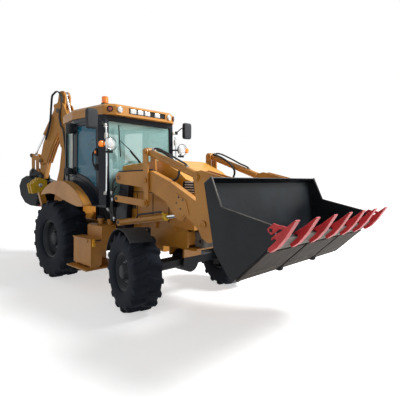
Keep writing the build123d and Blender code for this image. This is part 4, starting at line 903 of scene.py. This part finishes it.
fender_top = arc_through((-430, 1400), (300, 1642), (1100, 1287))
fender_under = arc_through((-424, 1388), (300, 1630), (1092, 1274))[::-1]
sheet = np.vstack([fender_top, fender_under])
skirt = np.vstack([fender_top, [(1040, 1262), (900, 1258), (760, 1278), (600, 1305), (401, 1348),
                                (142, 1412), (-120, 1425), (-300, 1400), (-424, 1385)]])
both_sides("fender", joined([plate(sheet, 860, 1000), plate(skirt, 986, 1001)]), enamel,
           replaced=["rear_fenders"], bevel=0)
both_sides("fender_inner", plate(sheet, 556, 858), cab_black_and_tower_painted_shade, replaced=["rear_fenders"], bevel=0)
print("points along a fender", len(fender_top))

# %% [markdown]
# ## Nose louvres
# The bonnet's nose has a black opening with bright pressed louvres, and behind the flank louvres a
# black sheet is painted shade. Each louvre is a thin rounded strip.

# %% Louvres
NOSE_PITCH, FLANK_PITCH = 34, 32
strips = [case((2884 + number, 0, 1596 - NOSE_PITCH * number), (13, 372, 9), 0.35, 10, 24)
          for number in range(6)]
solid("nose_louvres", joined(strips), louvre_steel)
# the black sheet behind the flank louvres is painted shade
both_sides("flank_vent", case((2775, 451, 1585), (105, 5, 78), 0.2), seam_and_painted_shade_black, "hood")
slats = [case((2785, 456, 1524 + FLANK_PITCH * number), (96 - 6 * number, 9, 8), 0.35, 10, 20)
         for number in range(5)]
both_sides("flank_louvres", joined(slats), louvre_steel, "hood")
print("louvres on each flank", len(slats))

# %% [markdown]
# ## Loader bucket
# Scoured wear plates cover the underside, between black seams that end in rounded recesses, whose
# dark is painted shade on black cases, and the plate's edges are worn to bare grey. The red teeth and
# side cutters are flame-cut plates.

# %% Wear plates and worn edges
LIP, FLOOR_BACK = np.array([4455.0, 1202.0]), np.array([3970.0, 740.0])
PLATE_PITCH, PLATE_HALF, WELD_HALF, SEAM_Y = 719, 334, 320, 359
EDGE_HALF, GUARD_HALF = 1056, 1050
SIDE_EDGE = [(3622, 1664), (3703, 1719), (3831, 1434), (4381, 1318)]
floor_way = unit(LIP - FLOOR_BACK)
floor_in = np.array([-floor_way[1], floor_way[0]])


def on_floor(ahead_of_lip, above_floor):
    """The (x, z) place a distance ahead of the lip along the floor and a height above its underside."""
    return tuple(LIP + ahead_of_lip * floor_way + above_floor * floor_in)


wear_plate = [on_floor(-618, -8), on_floor(-618, -21), on_floor(-168, -21), on_floor(-168, -8)]
weld_x, weld_z = on_floor(-505, -22)
for number in (1, 2, 3):
    middle = (number - 2) * PLATE_PITCH
    solid(f"wear_plate_{number}", plate(wear_plate, middle - PLATE_HALF, middle + PLATE_HALF), worn_plate,
          "bucket", bevel=0.004)
    weld = [(weld_x, middle + y, weld_z) for y in (-WELD_HALF, WELD_HALF)]
    solid(f"weld_line_{number}", hose(weld, 4), grey_iron, "bucket")
solid("cutting_edge", plate([on_floor(-165, -12), on_floor(-4, -10), on_floor(2, 2), on_floor(-150, -2)],
                            -EDGE_HALF, EDGE_HALF), grey_iron, "bucket", bevel=0.003)
# the rounded recesses at the seams' ends are black cases: painted shade
recess_x, recess_z = on_floor(-585, -16)
solid("seam_recesses", joined([case((recess_x, y, recess_z), (34, 40, 34), 0.6)
                               for y in (-SEAM_Y, SEAM_Y)]), seam_and_painted_shade_black, "bucket")
both_sides("bucket_edge", joined([hose([(x, 1052, z) for x, z in run], 7, 1, 8)
                                  for run in zip(SIDE_EDGE[:-1], SIDE_EDGE[1:])]), grey_iron, "bucket")
solid("spill_guard", plate([(3604, 1650), (3700, 1717), (3708, 1708), (3616, 1642)], -GUARD_HALF,
                           GUARD_HALF), bucket_enamel, "bucket", bevel=0.003)
print("the bucket's floor is", round(np.linalg.norm(LIP - FLOOR_BACK)), "mm long")

# %% Teeth and side cutters
TEETH, TOOTH_PITCH, TOOTH_HALF = 7, 352, 37
TOOTH = [(-115, -4), (-122, -40), (-40, -52), (80, -38), (250, 3), (250, 13), (90, 26), (20, 40), (-30, 40),
         (-34, 24), (0, 22), (4, -2)]
CUTTER = [(4419, 1338), (4359, 1285), (4371, 1259), (4402, 1238), (4438, 1264), (4474, 1297), (4545, 1291),
          (4552, 1315), (4505, 1324), (4464, 1326)]
tooth = [on_floor(along, above) for along, above in TOOTH]
middles = [(number - TEETH // 2) * TOOTH_PITCH for number in range(TEETH)]
solid("loader_teeth", joined([plate(tooth, y - TOOTH_HALF, y + TOOTH_HALF) for y in middles]), red_enamel,
      "bucket", ["bucket_teeth"], 0.004)
both_sides("side_cutter", plate(CUTTER, 1060, 1079), red_enamel, "bucket", ["bucket_teeth"], 0.003)
# the square hole in each cutter is a black plate: painted shade
hole = np.mean(CUTTER[:5], axis=0) + [(-14, -16), (-16, 14), (14, 16), (16, -14)]
both_sides("cutter_hole", plate(hole, 1078, 1081), seam_and_painted_shade_black, "bucket", bevel=0)
print("teeth", TEETH, "over", middles[-1] - middles[0], "mm")

# %% [markdown]
# ## Digging arm
# The stick's front carries three bright guide bars, dark hoses loop over its head, and the small bucket
# has red teeth.

# %% Hoses and bars of the digging arm
GUIDE_BAR = [(208, 2716), (426, 2369), (589, 2014)]
HEAD_LOOP = [(126, 3150), (118, 3260), (130, 3400), (190, 3500), (270, 3535), (340, 3500)]
STICK_HOSE = [(336, 3502), (400, 3440), (425, 3219), (454, 2910), (520, 2690), (590, 2515)]
# columns: distance back, shift across, height
BOOM_HOSE = [(130, -6, 1250), (40, -6, 1600), (-20, -6, 2000), (0, -6, 2300), (35, -28, 2668),
             (109, -28, 2803), (150, -28, 3000), (126, 0, 3160)]


def arm_hose(line, y, radius, steps=8):
    """A hose through (back, height) places, a distance across the digging arm's plane."""
    return hose(np.insert(line, 1, y, axis=1), radius, steps, where=digger_places)


for number, y in enumerate((-60, 0, 60), start=1):
    solid(f"guide_bar_{number}", arm_hose(GUIDE_BAR, y, 9), bright_steel, "stick")
for number, y in enumerate((-112, -138, 118), start=1):
    loop = solid(f"head_loop_{number}", arm_hose(HEAD_LOOP, y, 13, 6), hose_rubber, None)
    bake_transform(loop)
    solid(f"stick_hose_{number}", arm_hose(STICK_HOSE, y, 13), hose_rubber, "stick")
    solid(f"boom_hose_{number}", hose(np.array(BOOM_HOSE) + [0, y, 0], 13, where=digger_places),
          hose_rubber, "boom")
ends = [turned(FITTING, digger_place(back, -118, z), UP, 12)
        for back, z in ((126, 3196), (184, 3004), (109, 2803), (35, 2668))]
solid("boom_head_fittings", joined(ends), bright_steel, "boom", bevel=0)
print("hose ends on the boom", len(ends))

# %% Caps and teeth of the digging arm
BACK = digger_place(1000, 0, 0) - digger_place(0, 0, 0)
ACROSS = digger_place(0, 1000, 0) - digger_place(0, 0, 0)
DIGGING_PITCH = 122
# columns: piece, body, distance back, y of the face, height, radius, thickness (millimetres)
DIGGER_CAPS = [
    ("stick_pivot_cap", "boom", 215, 146, 3120, 52, 16), ("boom_foot_cap", "kingpost", 220, 156, 820, 52, 16),
    ("rocker_pivot_cap", "rocker", 767, 112, 2057, 40, 12),
    ("rocker_end_cap", "rocker", 1050, 112, 2180, 40, 12),
    ("stick_tip_cap", "hoe_bucket", 760, 112, 1700, 44, 12),
    ("bucket_link_cap", "hoe_bucket", 1040, 112, 1830, 40, 12),
]
for name, body, back, face, z, radius, thick in DIGGER_CAPS:
    for side_name, side in SIDES:
        solid(f"{name}_{side_name}",
              pin_cap(digger_place(back, side * face, z), side * ACROSS, radius, thick), grey_iron, body)
teeth = [pressed_ball(digger_place(625, DIGGING_PITCH * number, 1074), (70, 30, 20), 0.35, 10, 20,
                      [BACK, ACROSS, UP]) for number in range(-2, 3)]
solid("digging_teeth", joined(teeth), red_enamel, "hoe_bucket")
print("digging teeth", len(teeth))

# %% [markdown]
# ## Stabiliser legs
# A folded leg is a tapered box with a swinging foot. The foot's two plates end in teeth that grip soft
# ground, and hang on a bright pin.

# %% Stabilisers
def hull_of_circles(first, first_radius, second, second_radius, steps=14):
    """The outline round two circles: an arc of each, cut where their common tangents touch."""
    first, second = np.asarray(first, float), np.asarray(second, float)
    way = second - first
    heading = math.atan2(way[1], way[0])
    spread = math.acos((first_radius - second_radius) / np.linalg.norm(way))
    back = heading + np.linspace(spread, 2 * math.pi - spread, steps)
    front = heading + np.linspace(-spread, spread, steps)
    arcs = [middle + radius * np.stack([np.cos(angle), np.sin(angle)], -1)
            for middle, radius, angle in ((first, first_radius, back), (second, second_radius, front))]
    return np.vstack(arcs)


LEG_X, LEG_HALF = -950, 40
FOOT_IN, FOOT_OUT = 44, 85
LEG = {"body": "stabiliser_{}", "replaced": ["stabiliser_{}"]}
LEG_PIN = [(-98, 0), (-98, 34), (-88, 36), (-88, 22), (88, 22), (88, 36), (98, 34), (98, 0)]
leg = hull_of_circles((600, 760), 70, (830, 1540), 45)
foot = [(680, 1450), (980, 1380), (1020, 1560), (985, 1588), (972, 1562), (948, 1622), (932, 1596),
        (908, 1655), (890, 1632), (862, 1688), (710, 1640)]
both_sides("stabiliser_leg", plate(leg, LEG_X - LEG_HALF, LEG_X + LEG_HALF, across=0), enamel,
           bevel=0.006, **LEG)
both_sides("stabiliser_foot", joined([plate(foot, LEG_X - FOOT_OUT, LEG_X - FOOT_IN, across=0),
                                      plate(foot, LEG_X + FOOT_IN, LEG_X + FOOT_OUT, across=0)]),
           pad_enamel, bevel=0.004, **LEG)
both_sides("stabiliser_pin", turned(LEG_PIN, place(LEG_X, 830, 1540), AHEAD, 28), bright_steel, **LEG)
print("points round a leg", len(leg))

# %% [markdown]
# ## Floor and light
# A plain white floor carries the machine and its shadow. The sky is an even pale grey, with one large
# soft lamp high on the left and a weak one at the right, so that the tops shine and the near side
# stays in soft shade, as in the photograph. Away from the machine the floor glows up to full white, so
# that it meets the white background with no line.

# %% Floor and sky
FLOOR_HALF = 60.0
NEAR_GLOW = 0.55
GLOW_FROM, GLOW_TO = 3.6, 8.0
SKY_LIGHT = 0.26
WHITE = (1, 1, 1, 1)


def seen_rays(tree):
    """1 for rays from the camera and those that a mirror or a glass passes on, and 0 for the rest."""
    rays = add_node(tree, "LightPath").outputs
    seen = add_node(tree, "Math", {0: rays["Is Camera Ray"], 1: rays["Is Glossy Ray"]}, operation="MAXIMUM")
    return add_node(tree, "Math", {0: seen.outputs["Value"], 1: rays["Is Transmission Ray"]},
                    operation="MAXIMUM").outputs["Value"]


floor_mesh = bpy.data.meshes.new("floor")
floor_mesh.from_pydata([(x * FLOOR_HALF, y * FLOOR_HALF, 0) for x, y in ((-1, -1), (1, -1), (1, 1), (-1, 1))],
                       [], [[0, 1, 2, 3]])
floor = bpy.data.objects.new("floor", floor_mesh)
bpy.context.scene.collection.objects.link(floor)
floor_white, tree, where = new_finish("white_floor")
away = add_node(tree, "VectorMath", {"Vector": where}, operation="LENGTH").outputs["Value"]
glow = add_node(tree, "MapRange", {"Value": away, "From Min": GLOW_FROM, "From Max": GLOW_TO,
                                   "To Min": NEAR_GLOW, "To Max": 1.0}, interpolation_type="SMOOTHSTEP")
lit = add_node(tree, "Math", {0: seen_rays(tree), 1: glow.outputs["Result"]}, operation="MULTIPLY")
matt = add_node(tree, "BsdfPrincipled", {
    "Base Color": linear("#E8E8E8"), "Roughness": 0.9, "Specular IOR Level": 0.0,
    "Emission Color": WHITE, "Emission Strength": lit.outputs["Value"]})
add_node(tree, "OutputMaterial", {"Surface": matt.outputs["BSDF"]})
floor_mesh.materials.append(floor_white)

sky = bpy.data.worlds.new("sky")
bpy.context.scene.world = sky
sky.use_nodes = True
tree = sky.node_tree
tree.nodes.clear()
strength = add_node(tree, "MapRange", {"Value": seen_rays(tree), "To Min": SKY_LIGHT, "To Max": 1.0})
background = add_node(tree, "Background", {"Color": WHITE, "Strength": strength.outputs["Result"]})
add_node(tree, "OutputWorld", {"Surface": background.outputs["Background"]})
print("floor half width", FLOOR_HALF, "m")

# %% Lamps
def add_lamp(name, where, aim, size, power):
    """A square soft lamp at a place, turned to shine at another."""
    data = bpy.data.lights.new(name, "AREA")
    data.size = size
    data.energy = power
    away = unit(np.subtract(where, aim))
    side = unit(np.cross(UP, away))
    stand(name, data, side, np.cross(away, side), away, where)


add_lamp("sun_side", (7.0, 6.0, 9.5), (0, 0, 1.0), 4.0, 2100)
add_lamp("near_fill", (6.0, -8.0, 3.5), (0, 0, 1.2), 6.0, 60)
bpy.context.scene.view_settings.view_transform = "Standard"
print("lamps", len(bpy.data.lights))
